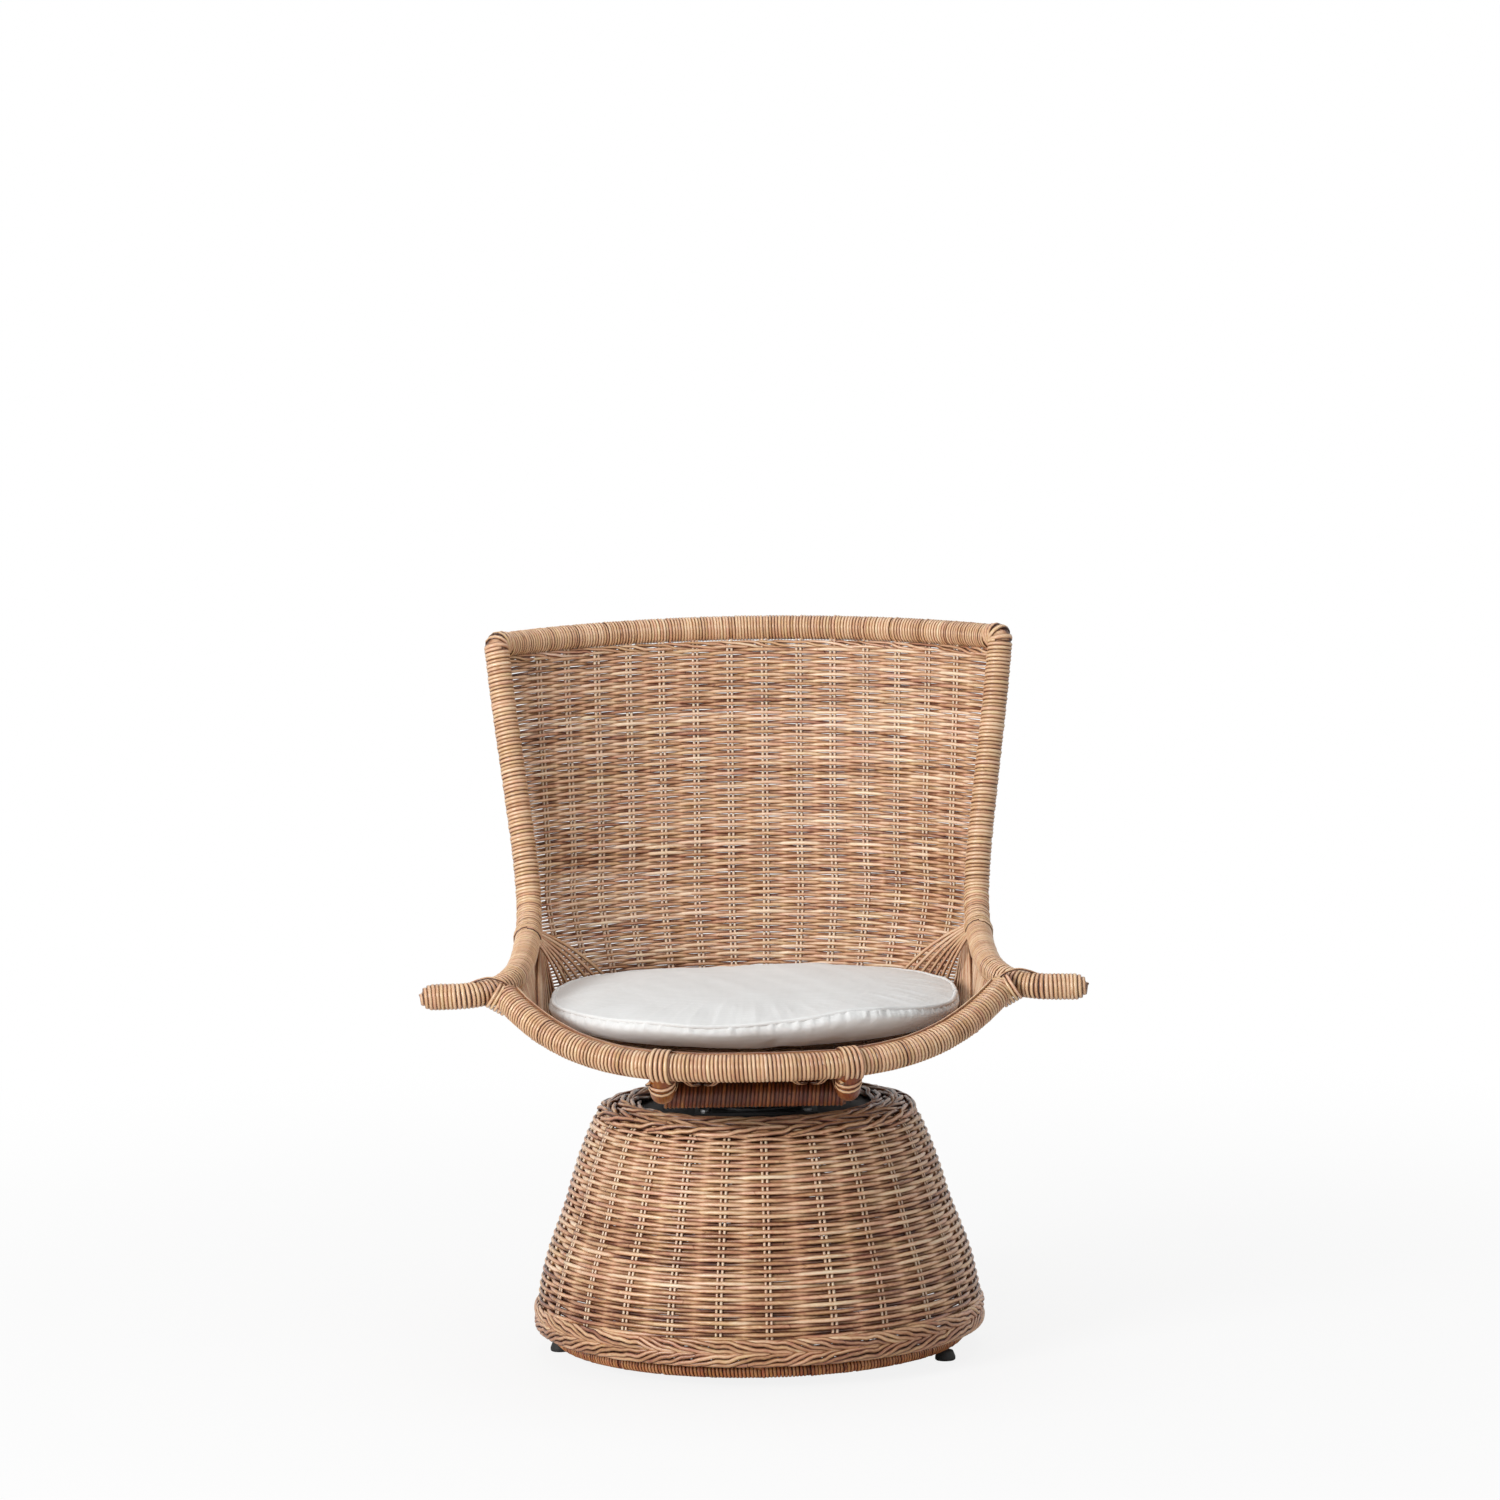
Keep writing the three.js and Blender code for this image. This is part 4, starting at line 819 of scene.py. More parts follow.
# ------------------------------------------------------------------ ways of laying cane, on surfaces
@dataclass(frozen=True)
class Weave:
    """Single canes woven over and under paired stakes.

    The first fields are the weavers' width, thickness and swing, the stakes' radius and how far each of a
    pair lies from their middle. The others say how much the rows waver up and down, how long a length of one
    tone may be, and how much the tones drift.
    """

    cane: float
    depth: float
    swing: float
    stake: float
    stake_gap: float = 2.5
    waver: float = 0.35
    lengths: tuple[float, float] = (110.0, 420.0)
    drift: float = 0.07

    def weavers(self, bundle: Bundle, places: Array, normals: Array, numbers: Array, run: float,
                tone: Array | float, sides: int = 6, spread: float = 0.1, slack: Array | float = 0.0) -> None:
        """Lays the weavers of all rows.

        A weaver lies at its place plus swing cos(pi n) times the normal, where n counts the stakes that it
        has passed, and next rows swing opposite ways. The cosine is flattened a little, as stiff cane does.
        Each length has its own tone, and the noises are read at steps from row to row that keep rows unlike
        each other.

        Args:
            bundle: The canes to add to.
            places: Points of the middle surface, as (rows, points, 3).
            normals: Normals there.
            numbers: Count of stakes at each point, as (rows, points).
            run: Length of a row in millimetres.
            tone: Mean tone, for all or for each row.
            sides: Faces round a cane.
            spread: How much the lengths' tones differ.
            slack: How much thinner the weavers are, as a share, at each point.
        """
        rows, points = numbers.shape
        row = np.arange(rows)[:, None]
        sense = np.where(row % 2, -1.0, 1.0)
        wave = np.cos(np.pi * numbers)
        wave = np.sign(wave) * np.abs(wave) ** 0.8
        x = np.linspace(0, run, points)[None] + bundle.rng.uniform(0, 900, (rows, 1))
        strand = (x / bundle.rng.uniform(*self.lengths, (rows, 1))).astype(int)
        shades = bundle.rng.normal(0, 1, (rows, int(strand.max()) + 1))
        shade = tone + spread * np.take_along_axis(shades, strand, 1)
        shade = shade + self.drift * smooth_noise(x / 160 + row * 2.37, bundle.seed + 1)
        paths = places + (sense * self.swing * wave)[..., None] * normals
        paths[..., 2] += self.waver * smooth_noise(x / 60 + row * 1.7, bundle.seed + 2)
        size = (1 + 0.05 * bundle.rng.normal(0, 1, (rows, 1))) * (1 - np.broadcast_to(slack, numbers.shape))
        # sense * wave is the bend that paints shade on the face of a weaver that dips behind a stake.
        bundle.lay(paths, normals, self.cane * size, self.depth * size, shade, sides, sense * wave)

    def stakes(self, bundle: Bundle, places: Array, normals: Array, tone: float, sides: int = 6) -> None:
        """Lays two canes side by side for each stake.

        Args:
            bundle: The canes to add to.
            places: Points of the middle surface, as (stakes, points, 3).
            normals: Normals there.
            tone: Mean tone.
            sides: Faces round a cane.
        """
        beside = unit(np.cross(unit(np.gradient(places, axis=1)), normals))
        for sense in (-1, 1):
            shade = tone + bundle.rng.normal(0, 0.08, len(places))
            size = 2 * self.stake * (1 + 0.06 * bundle.rng.normal(0, 1, len(places)))
            bundle.lay(places + sense * self.stake_gap * beside, normals, size, size, shade, sides)


def ring_faces(rings: int, around: int) -> list[Array]:
    """Faces between level rings of vertices from the foot up, with a fan to a last vertex at each end.

    Args:
        rings: How many rings there are.
        around: Vertices round each of them.

    Returns:
        The quads, and the triangles of the fans at the first and the last ring.
    """
    i, j = np.arange(rings - 1)[:, None] * around, np.arange(around)[None]
    k = (j + 1) % around
    quads = np.stack([i + j, i + k, i + around + k, i + around + j], -1).reshape(-1, 4)
    j, k, last, count = j[0], k[0], (rings - 1) * around, rings * around
    foot = np.stack([k, j, np.full(around, count)], -1)
    top = np.stack([last + j, last + k, np.full(around, count + 1)], -1)
    return [quads, np.vstack([foot, top])]


def lathe(name: str, profile: Array, centre: tuple[float, float], segments: int = 40) -> bpy.types.Object:
    """A round solid: a profile of radius and height turned about an upright axis, closed at both ends.

    Args:
        name: Name of the object.
        profile: Rows of radius and height, from the foot's middle round to the top's.
        centre: The axis in plan.
        segments: Facets round it.

    Returns:
        The object.
    """
    angle = np.arange(segments) * 2 * np.pi / segments
    inner = profile[1:-1]
    ring = np.stack([
        centre[0] + inner[:, :1] * np.cos(angle), centre[1] + inner[:, :1] * np.sin(angle),
        np.repeat(inner[:, 1:], segments, 1),
    ], -1)
    ends = np.array([[*centre, profile[0, 1]], [*centre, profile[-1, 1]]])
    vertices = np.vstack([ring.reshape(-1, 3), ends])
    return mesh_object(name, vertices, ring_faces(len(inner), segments))


def dress(finish: Finish, *nodes: str) -> None:
    """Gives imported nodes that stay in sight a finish.

    Args:
        finish: The finish.
        nodes: Names of the nodes.
    """
    for name in nodes:
        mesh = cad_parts[name].data
        mesh.materials.clear()
        mesh.materials.append(finish.material())
        log.info("%s: packed node, %s", name, finish.name)


# ------------------------------------------------------------------ base
@dataclass
class DrumBase:
    """The drum that the chair stands on: glides, floor ring, woven wall, two borders and the poles inside.

    The profile and the rib give radii and heights from the foot up, the front stakes their angles in degrees,
    and the mouth the radius, height and tilt of each rope of its border.
    """

    profile: tuple[tuple[float, float], ...] = (
        (266, 45), (262, 75), (252, 117), (231, 174), (214, 229), (202, 260), (193, 279), (180, 293))
    foot: float = 62.5
    top: float = 288.0
    wall: float = 9.4
    weave: Weave = Weave(5.55, 4.3, 3.3, 1.8, 2.7, 0.32)
    row_pitch: float = 4.42
    row_length: float = 1400.0
    front_stakes: tuple[float, ...] = (-66, -51, -37, -23.5, -10.5, 2.5, 19.5, 34, 49, 66)
    stake_count: int = 26
    ring_radius: float = 237.5
    ring_height: float = 20.5
    ring_winding: Winding = Winding(8.5, 4.3, 2.8, per_turn=12, tone=0.44, sides=8, mark_depth=0.6)
    border_radius: float = 263.0
    border_heights: tuple[float, float] = (53.2, 38.2)
    mouth: tuple[tuple[float, float, float], ...] = (
        (183.5, 288.5, 46), (171.5, 292.4, 66), (157.5, 295.6, 84), (144, 294.6, 106))
    rib_count: int = 8
    rib_pole: float = 6.0
    rib: tuple[tuple[float, float], ...] = (
        (237.5, 20.5), (241, 35), (248.2, 62), (245.8, 75), (235.8, 117), (214.8, 174), (197.8, 229),
        (185.8, 260), (165, 283))
    hoops: tuple[tuple[str, str, float, float, float], ...] = (
        ("middle_hoop", "base_mid_hoop", 211.2, 6.0, 150.0), ("top_ring", "base_top_ring", 165.0, 8.0, 283.0))

    def __post_init__(self) -> None:
        """Works out the wall's outline, how far inside it the canes lie, and the angles of its stakes."""
        points = route([(r, 0, z) for r, z in self.profile], np.linspace(0, 1, 400))
        self.outline = Line3(points)
        self.inset = self.wall / 2 + 0.4
        behind = self.stake_count - len(self.front_stakes)
        back = np.linspace(self.front_stakes[-1], 360 + self.front_stakes[0], behind + 2)[1:-1]
        self.angles = np.radians(np.concatenate([self.front_stakes, back]))

    def wall_at(self, angle: Array, reach: Array) -> tuple[Array, Array]:
        """Points and normals of the middle surface of the wall.

        At angle a from the front it is (r sin a, -r cos a, z), with r and z the outline's at a length along
        it, moved inwards square to the outline.

        Args:
            angle: Angles, of a shape that fits the reach.
            reach: Lengths along the outline from its foot.

        Returns:
            Points and outward normals.
        """
        r, z = self.outline.at(reach)[..., 0], self.outline.at(reach)[..., 2]
        along = self.outline.along(reach)
        nr, nz = along[..., 2], -along[..., 0]
        r, z = r - self.inset * nr, z - self.inset * nz
        angle, r, z, nr, nz = np.broadcast_arrays(angle, r, z, nr, nz)
        points = np.stack([r * np.sin(angle), -r * np.cos(angle), z], -1)
        return points, np.stack([nr * np.sin(angle), -nr * np.cos(angle), nz], -1)

    def circle(self, radius: float, height: float, step: float) -> tuple[Array, float]:
        """Points round a level circle that close with a short overlap.

        Args:
            radius: The circle's radius.
            height: Its height.
            step: Wanted distance between points.

        Returns:
            The points and the distance between them.
        """
        count = round(2 * np.pi * radius / step)
        angle = np.pi + np.arange(count + 2) * 2 * np.pi / count
        points = np.stack([radius * np.sin(angle), -radius * np.cos(angle), np.full(count + 2, height)], -1)
        return points, 2 * np.pi * radius / count

    def build(self) -> None:
        """Makes every piece of the base."""
        self.build_glides()
        self.build_ring()
        self.build_wall()
        self.build_foot_border()
        self.build_mouth_border()
        self.build_poles()
        dress(DEAL, "base_stretcher", "deck_bar_front", "deck_bar_rear")
        dress(BLACK_BOARD, "deck_board")

    def build_glides(self) -> None:
        """Four screw glides: a moulded foot with a rounded edge on a threaded stud.

        From the floor up, the profile is a quarter circle, a flare, and a stud of radius 2.85 + 0.14 cos(f)
        that f turns round twelve times.
        """
        flat, rounding, thread_depth, turns = 10.2, 1.8, 0.14, 12
        turn = np.linspace(0, np.pi / 2, 5)
        edge = np.stack([flat + rounding * np.sin(turn), rounding - rounding * np.cos(turn)], -1)
        flare = [[12, 4.2], [11.6, 5.4], [9.6, 10.4], [8.8, 11.5], [6, 11.7]]
        up = np.linspace(0, 1, 2 * turns + 1)
        stud = np.stack([2.85 + thread_depth * np.cos(up * 2 * turns * np.pi), 11.9 + 11.4 * up], -1)
        profile = np.vstack([[0, 0], edge, flare, stud, [0, 23.6]])
        for side in ("left", "right", "front", "rear"):
            node = f"glide_{side}"
            low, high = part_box(node)
            centre = ((low.x + high.x) / 2 / MM, (low.y + high.y) / 2 / MM)
            place_piece(lathe(f"glide_foot_{side}", profile, centre), node, PLASTIC, (node,))

    def build_ring(self) -> None:
        """The floor ring, wound closely with cane."""
        points, _ = self.circle(self.ring_radius, self.ring_height, 5.0)
        line = Line3(points[:-1])
        bundle = Bundle("floor_ring", 11)
        # The core's tone of 0.05 is painted shade for the gaps between turns.
        bundle.core(line, self.ring_winding.radius - CORE_INSET, 0.05, 8, 120)
        self.ring_winding.wind(bundle, line, marks=np.arange(60.0, line.length, 57.0))
        bundle.make("base", STAINED, "dark_rattan", ("base_bottom_ring",))

    def build_wall(self) -> None:
        """The woven wall: paired stakes and single weavers, row upon row, a little paler towards the top."""
        start, end = (self.outline.where(2, z) for z in (self.foot, self.top))
        rows = round((end - start) / self.row_pitch)
        count = np.arange(0, self.stake_count + 0.2, 1 / 6)
        closed = np.append(self.angles, self.angles[0] + 2 * np.pi)
        angle = np.interp(count, np.arange(self.stake_count + 1), closed)[None]
        points, normals = self.wall_at(angle, np.linspace(start, end, rows)[:, None])
        numbers = np.broadcast_to(count, points.shape[:2])
        tones = np.linspace(0.47, 0.57, rows)[:, None]
        bundle = Bundle("base_wall", 21)
        self.weave.weavers(bundle, points, normals, numbers, self.row_length, tones, spread=0.13)
        points, normals = self.wall_at(self.angles[:, None], np.linspace(start - 6, end + 6, 26)[None])
        self.weave.stakes(bundle, points, normals, 0.9)
        bundle.make("base", WOVEN, "rattan", ("base_weave",))

    def build_foot_border(self) -> None:
        """The border at the foot: two ropes of opposite twist, which read as chevrons."""
        bundle = Bundle("foot_border", 31)
        for height, sense in zip(self.border_heights, (1, -1)):
            points, step = self.circle(self.border_radius, height, 5.0)
            out = unit(points * (1, 1, 0))
            up = np.broadcast_to((0.0, 0.0, 1.0), points.shape)
            Rope(6, 150.0, 6.1, 2.4, 5.5, sense, 0.35).twist(bundle, points, up, out, step)
        bundle.make("base", WOVEN, "rattan", ("base_lower_braid",))

    def build_mouth_border(self) -> None:
        """The border at the mouth: ropes side by side, rolled over the top ring."""
        bundle = Bundle("mouth_border", 41)
        up = np.array((0.0, 0.0, 1.0))
        for i, (radius, height, tilt) in enumerate(self.mouth):
            points, step = self.circle(radius, height, 4.0)
            radial = unit(points * (1, 1, 0))
            lean = math.radians(tilt)
            out = math.cos(lean) * radial + math.sin(lean) * up
            across = -math.sin(lean) * radial + math.cos(lean) * up
            Rope(3, 138.0, 4.9, 2.3, 5.9, 1 if i % 2 else -1, 0.55).twist(bundle, points, across, out, step)
        bundle.make("base", WOVEN, "rattan", ("base_top_braid",))

    def build_poles(self) -> None:
        """The round poles inside the wall: the ribs, the middle hoop and the top ring."""
        for i in range(self.rib_count):
            turn = 2 * np.pi * i / self.rib_count
            points = [(r * math.cos(turn), r * math.sin(turn), z) for r, z in self.rib]
            bundle = Bundle(f"rib_{i + 1}", 50 + i)
            line = Line3(route(points, np.linspace(0, 1, 120)), (math.cos(turn), math.sin(turn), 0))
            bundle.core(line, self.rib_pole, 0.45, 12, 30)
            bundle.make("base", STAINED, "dark_rattan", (f"base_rib_{i + 1}",))
        for name, node, radius, pole, height in self.hoops:
            points, _ = self.circle(radius, height, 8.0)
            bundle = Bundle(name, 60)
            bundle.core(Line3(points[:-1]), pole, 0.4, 12, 128)
            bundle.make("base", STAINED, "dark_rattan", (node,))


class Swivel:
    """The ball-bearing swivel between the deck and the seat's bearers, kept as it was packed."""

    def build(self) -> None:
        """Gives the plates, the balls, the pivot and the bolts their finishes."""
        dress(POWDER_COAT, "swivel_lower_plate", "swivel_upper_plate")
        dress(ZINC, "ball_cage", "swivel_pivot")
        dress(ZINC, *(f"{half}_bolt_{i}" for half in ("lower", "upper") for i in range(1, 5)))


# ------------------------------------------------------------------ seat
@dataclass
class Shape:
    """The curves that the seat's pieces follow, with heights from the seat level.

    The side plan is the right side pole from its top corner to the arm's end, and the hoop plan the right
    half of the hoop from its back. The waist is the number of the side plan's point where the back ends. Rim
    and rail are arcs with a half span, a bow, and a rise at their ends or a crown in their middle.
    """

    level: float = 382.6
    side_plan: tuple[tuple[float, float, float], ...] = (
        (307, 183, 461), (297, 163, 374), (284, 138, 279), (272, 111, 185), (268.5, 93, 139), (268, 55, 113),
        (269, 5, 99), (272, -60, 88), (279, -115, 80), (297, -155, 72), (327, -172, 68), (368, -175, 67))
    hoop_plan: tuple[tuple[float, float, float], ...] = (
        (0, 204, 0), (120, 181, 0), (190, 138, 0), (232, 86, 1), (250, 22, 3), (254, -60, 8), (250, -130, 17),
        (247, -185, 28), (247, -222, 37))
    rim_span: float = 287.5
    rim_bow: float = 159.4
    rim_end: float = -170.3
    rim_rise: float = 65.7
    rail_span: float = 299.25
    rail_bow: float = 141.6
    rail_middle: float = 330.6
    rail_height: float = 828.1
    crown: float = 6.5
    centre: float = -60.0
    waist: int = 4

    def __post_init__(self) -> None:
        """Works out the dense lines."""
        t = np.linspace(0, 1, 1200)
        self.side_points, self.hoop_points = (
            [(x, y, z + self.level) for x, y, z in plan] for plan in (self.side_plan, self.hoop_plan))
        self.side = {side: Line3(route(self.mirrored(self.side_points, side), t)) for side in (1, -1)}
        self.hoop = Line3(route(self.mirrored(self.hoop_points[:0:-1], -1) + self.hoop_points, t))
        self.half_hoop = route(self.hoop_points, t)
        x, y = self.arc(self.rim_span, self.rim_bow, t)
        z = self.level + 2 + self.rim_rise * (x / self.rim_span) ** 4
        self.rim = Line3(np.stack([x, self.rim_end - y, z], -1))
        x, y = self.arc(self.rail_span, self.rail_bow, t)
        z = self.rail_height + self.crown * (1 - (x / self.rail_span) ** 2)
        self.rail = Line3(np.stack([x, self.rail_middle - self.rail_bow + y, z], -1))
        edge = route(self.side_points[:self.waist + 1] + [self.hoop_points[3]], t)
        self.edge, self.edge_run = edge[::-1], t[::-1]

    @staticmethod
    def mirrored(points: list[tuple[float, float, float]], side: int) -> list[tuple[float, float, float]]:
        """Points of the right half as they are for side 1, or in the left half for side -1."""
        return [(side * x, y, z) for x, y, z in points]

    @staticmethod
    def arc(span: float, bow: float, t: Array) -> tuple[Array, Array]:
        """An arc of a circle over a level chord.

        Args:
            span: Half the chord.
            bow: Height of the arc's middle.
            t: Places from 0 at its left end to 1 at its right.

        Returns:
            The points' x and their heights above the chord.
        """
        radius = (span**2 + bow**2) / (2 * bow)
        angle = (2 * t - 1) * np.arcsin(span / radius)
        return radius * np.sin(angle), bow - radius * (1 - np.cos(angle))

    def back_at(self, across: Array, height: Array) -> Array:
        """Points of the back's middle surface.

        Each row is a level arc from pole to pole through a leaning centre line, and rises a little in its
        middle.

        Args:
            across: Places from -1 at the left pole to 1 at the right.
            height: Heights.

        Returns:
            The points.
        """
        columns = (self.edge[:, 0], self.edge[:, 1], self.edge_run)
        edge_x, edge_y, run = (np.interp(height, self.edge[:, 2], column) for column in columns)
        foot, foot_height = self.hoop_plan[0][1], self.level + 1
        lean = (self.rail_middle - foot) / (self.rail_height + self.crown - foot_height)
        middle = foot + lean * (height - foot_height)
        radius = (edge_x**2 + (middle - edge_y) ** 2) / (2 * (middle - edge_y))
        angle = across * np.arcsin(edge_x / radius)
        x, y = radius * np.sin(angle), middle - radius * (1 - np.cos(angle))
        z = height + self.crown * (1 - across**2) * (1 - run)
        return np.stack(np.broadcast_arrays(x, y, z), -1)

    def back(self, across: Array, height: Array) -> tuple[Array, Array]:
        """The back's middle surface and its normals towards the sitter.

        Args:
            across: Places from -1 at the left pole to 1 at the right.
            height: Heights.

        Returns:
            Points and normals.
        """
        sideways = self.back_at(across + 0.01, height) - self.back_at(across - 0.01, height)
        upwards = self.back_at(across, height + 1) - self.back_at(across, height - 1)
        return self.back_at(across, height), unit(np.cross(sideways, upwards))

    def pan(self, x: Array, y: Array) -> Array:
        """Height of the dished seat.

        It is the level plus the edge's rise times the fourth power of the share of the way from the centre.

        Args:
            x: Places across.
            y: Places from front to back.

        Returns:
            The heights.
        """
        rim = self.rim.points[np.abs(self.rim.points[:, 0]) <= self.hoop_plan[-1][0]]
        edge = np.vstack([rim, self.half_hoop[::-1], self.half_hoop * (-1, 1, 1)])
        turn = np.arctan2(edge[:, 0], -(edge[:, 1] - self.centre))
        order = np.argsort(turn)
        far = np.hypot(edge[:, 0], edge[:, 1] - self.centre)
        here = np.arctan2(x, -(y - self.centre))
        reach = np.interp(here, turn[order], far[order], period=2 * np.pi)
        rise = np.interp(here, turn[order], edge[order, 2], period=2 * np.pi) - self.level
        return self.level + rise * np.minimum(np.hypot(x, y - self.centre) / reach, 1.02) ** 4

    def web(self, side: int, share: Array) -> tuple[Array, Array]:
        """The ends of a side web's strands.

        Args:
            side: 1 on the right, -1 on the left.
            share: Shares of the way from back to front.

        Returns:
            Their ends on the pole and on the hoop.
        """
        pole_spans, hoop_spans, web_spans, hoop_start = len(self.side_plan) - 1, len(self.hoop_plan) - 1, 5, 3
        tops = route(self.mirrored(self.side_points, side), (self.waist + web_spans * share) / pole_spans)
        places = hoop_start / hoop_spans + web_spans / hoop_spans * 0.8 * share
        return tops, route(self.mirrored(self.hoop_points, side), places)

    def rim_at(self, x: float) -> Array:
        """The rim's point at a distance from the middle plane."""
        return self.rim.at(np.array(self.rim.where(0, x)))

    def hoop_back(self, x: float) -> Array:
        """The hoop's point at the back at a distance from the middle plane."""
        half = self.half_hoop[:400] * (1 if x > 0 else -1, 1, 1)
        return np.array([np.interp(abs(x), np.abs(half[:, 0]), half[:, k]) for k in range(3)])


@dataclass
class SeatFrame:
    """The seat's poles: rim, rail, side poles with the arms, hoop, runners, cross rails, and their lashings.

    A pole's size is its winding's radius. The corner's sizes are how far it reaches down the side pole, how
    far in along the rail, and where on the side pole its curve aims. The rim's edging gives the angle and
    tone of each cane.
    """

    shape: Shape
    rim_winding: Winding = Winding(16.0, 4.5, 3.4, tone=0.48, spread=0.06, cover=1.1)
    rim_edging: tuple[tuple[float, float], ...] = ((26.0, 0.6), (43.0, 0.5), (60.0, 0.44))
    rail_winding: Winding = Winding(15.5, 3.9, 3.3, tone=0.52, spread=0.07, cover=1.08, mark_depth=0.7)
    side_winding: Winding = Winding(15.5, 4.7, 3.4, tone=0.55, cover=1.1, mark_depth=0.5)
    waist_winding: Winding = Winding(17.4, 4.4, tone=0.52, cover=1.1)
    corner_winding: Winding = Winding(15.5, 4.6, tone=0.52, cover=1.5)
    corner_down: float = 21.0
    corner_in: float = 7.0
    corner_aim: float = 9.5
    hoop_winding: Winding = Winding(11.0, 5.6, per_turn=8, tone=0.4)
    runner_x: float = 105.0
    runner_pole: float = 14.0
    runner_height: float = 352.5
    bend: float = 34.0
    cross_winding: Winding = Winding(15.5, 4.7, 3.6, tone=0.14, spread=0.07, cover=1.1, lean=0.5)
    cross_places: tuple[tuple[str, float], ...] = (("front", -205.0), ("rear", 110.0))
    tie_places: tuple[tuple[float, float], ...] = ((78.0, 0.0), (82.5, 1.2), (43.0, 0.0), (38.5, -1.2))
    binding_y: float = 38.0
    fan: int = 7
    web_fan: int = 10
    loose_cane: tuple[tuple[float, float, float], ...] = (
        (-331, -168, 462), (-315, -174, 469), (-303, -176, 471), (-288, -179, 467), (-276, -176, 455),
        (-268, -180, 446))

    def build(self) -> None:
        """Makes every pole of the seat."""
        self.build_rim()
        self.build_rim_edging()
        self.build_rail()
        for name, side in (("right", 1), ("left", -1)):
            self.build_side_pole(name, side)
            self.build_runner(name, side)
            self.build_lashing(name, side)
        self.build_hoop()
        self.build_cross_rails()
        dress(BLACK_BOARD, "bearer_front", "bearer_rear")

    def build_rim(self) -> None:
        """The front rim, wound closely."""
        bundle = Bundle("front_rim_winding", 71)
        bundle.core(self.shape.rim, self.rim_winding.radius - CORE_INSET, sides=12)
        self.rim_winding.wind(bundle, self.shape.rim)
        bundle.make("seat", WOUND, "rattan", ("front_rim",))

    def build_rim_edging(self) -> None:
        """Three canes along the inner edge of the rim, where the woven seat is tied to it."""
        rim = self.shape.rim
        s = np.linspace(10, rim.length - 10, 160)
        up, aside = rim.frame(s)
        bundle = Bundle("rim_edging", 75)
        for angle, tone in self.rim_edging:
            turn = math.radians(angle)
            radial = math.cos(turn) * up - math.sin(turn) * aside
            reach = self.rim_winding.radius + 1.3 + 0.4 * smooth_noise(s / 80, int(angle))
            bundle.lay(rim.at(s) + reach[:, None] * radial, radial, 3.8, 2.8, tone, 6)
        bundle.make("seat", WOVEN, "rattan")

    def corner(self, side: int) -> Line3:
        """The rounded corner from the rail into a side pole.

        It is the parabola (1 - w)^2 a + 2 w (1 - w) b + w^2 c from a on the rail to c on the side pole.

        Args:
            side: 1 on the right, -1 on the left.

        Returns:
            The corner's middle line.
        """
        pole, rail = self.shape.side[side], self.shape.rail
        start = rail.at(np.array(self.corner_in if side < 0 else rail.length - self.corner_in))
        aim, foot = pole.at(np.array(self.corner_aim)), pole.at(np.array(self.corner_down))
        return Line3(parabola(start, aim, foot, np.linspace(0, 1, 60)), (0.0, 1.0, 0.35))

    def build_rail(self) -> None:
        """The top rail: windings in groups between the stakes that come over it, and its rounded corners."""
        rail = self.shape.rail
        bundle = Bundle("top_rail_winding", 81)
        bundle.core(rail, self.rail_winding.radius - CORE_INSET, sides=12)
        marks = rail.length / 2 + np.arange(-6.5, 7) * 0.1236 * rail.length / 2 * 0.985
        self.rail_winding.wind(bundle, rail, self.corner_in, rail.length - self.corner_in, marks)
        for side in (1, -1):
            line = self.corner(side)
            bundle.core(line, self.corner_winding.radius - CORE_INSET - 0.2, 0.4, sides=12, steps=14)
            self.corner_winding.wind(bundle, line)
        bundle.make("seat", WOUND, "rattan", ("top_rail",))

    def build_side_pole(self, name: str, side: int) -> None:
        """A side pole, from the corner down the back, forward, and out as the arm with its rounded end.

        Towards the arm's end the radius follows sqrt(1 - q^2), with q the share of the last radius of its
        length.

        Args:
            name: The side's name.
            side: 1 on the right, -1 on the left.
        """
        pole, radius = self.shape.side[side], self.side_winding.radius
        end = pole.points[-1]
        tip = end + unit(pole.points[-1] - pole.points[-2]) * radius * 0.97
        line = Line3(np.vstack([pole.points, end + (tip - end) * np.linspace(0.02, 1, 30)[:, None]]))
        s = np.linspace(self.corner_down, line.length, 500)
        past = np.clip((s - pole.length) / radius, 0, 1)
        round_end = np.sqrt(np.maximum(1 - past**2, 0.02))
        core = 2 * (radius - CORE_INSET) * round_end[None]
        bundle = Bundle(f"side_pole_{name}_winding", 90 + side)
        # The core's tone of 0.1 is painted shade for the gaps between turns.
        bundle.lay(line.at(s), line.frame(s)[0], core, core, 0.1, 12)
        waist = pole.where(1, self.binding_y)
        marks = np.arange(self.corner_down + 14, waist, 16.4)
        self.side_winding.wind(bundle, line, self.corner_down, None, marks, round_end)
        self.waist_winding.wind(bundle, line, waist - 7, waist + 7)
        bundle.make("seat", WOUND, "rattan", (f"side_pole_{name}",))
        self.build_fan(name, side, waist)
        self.build_arm_lashing(name, side)

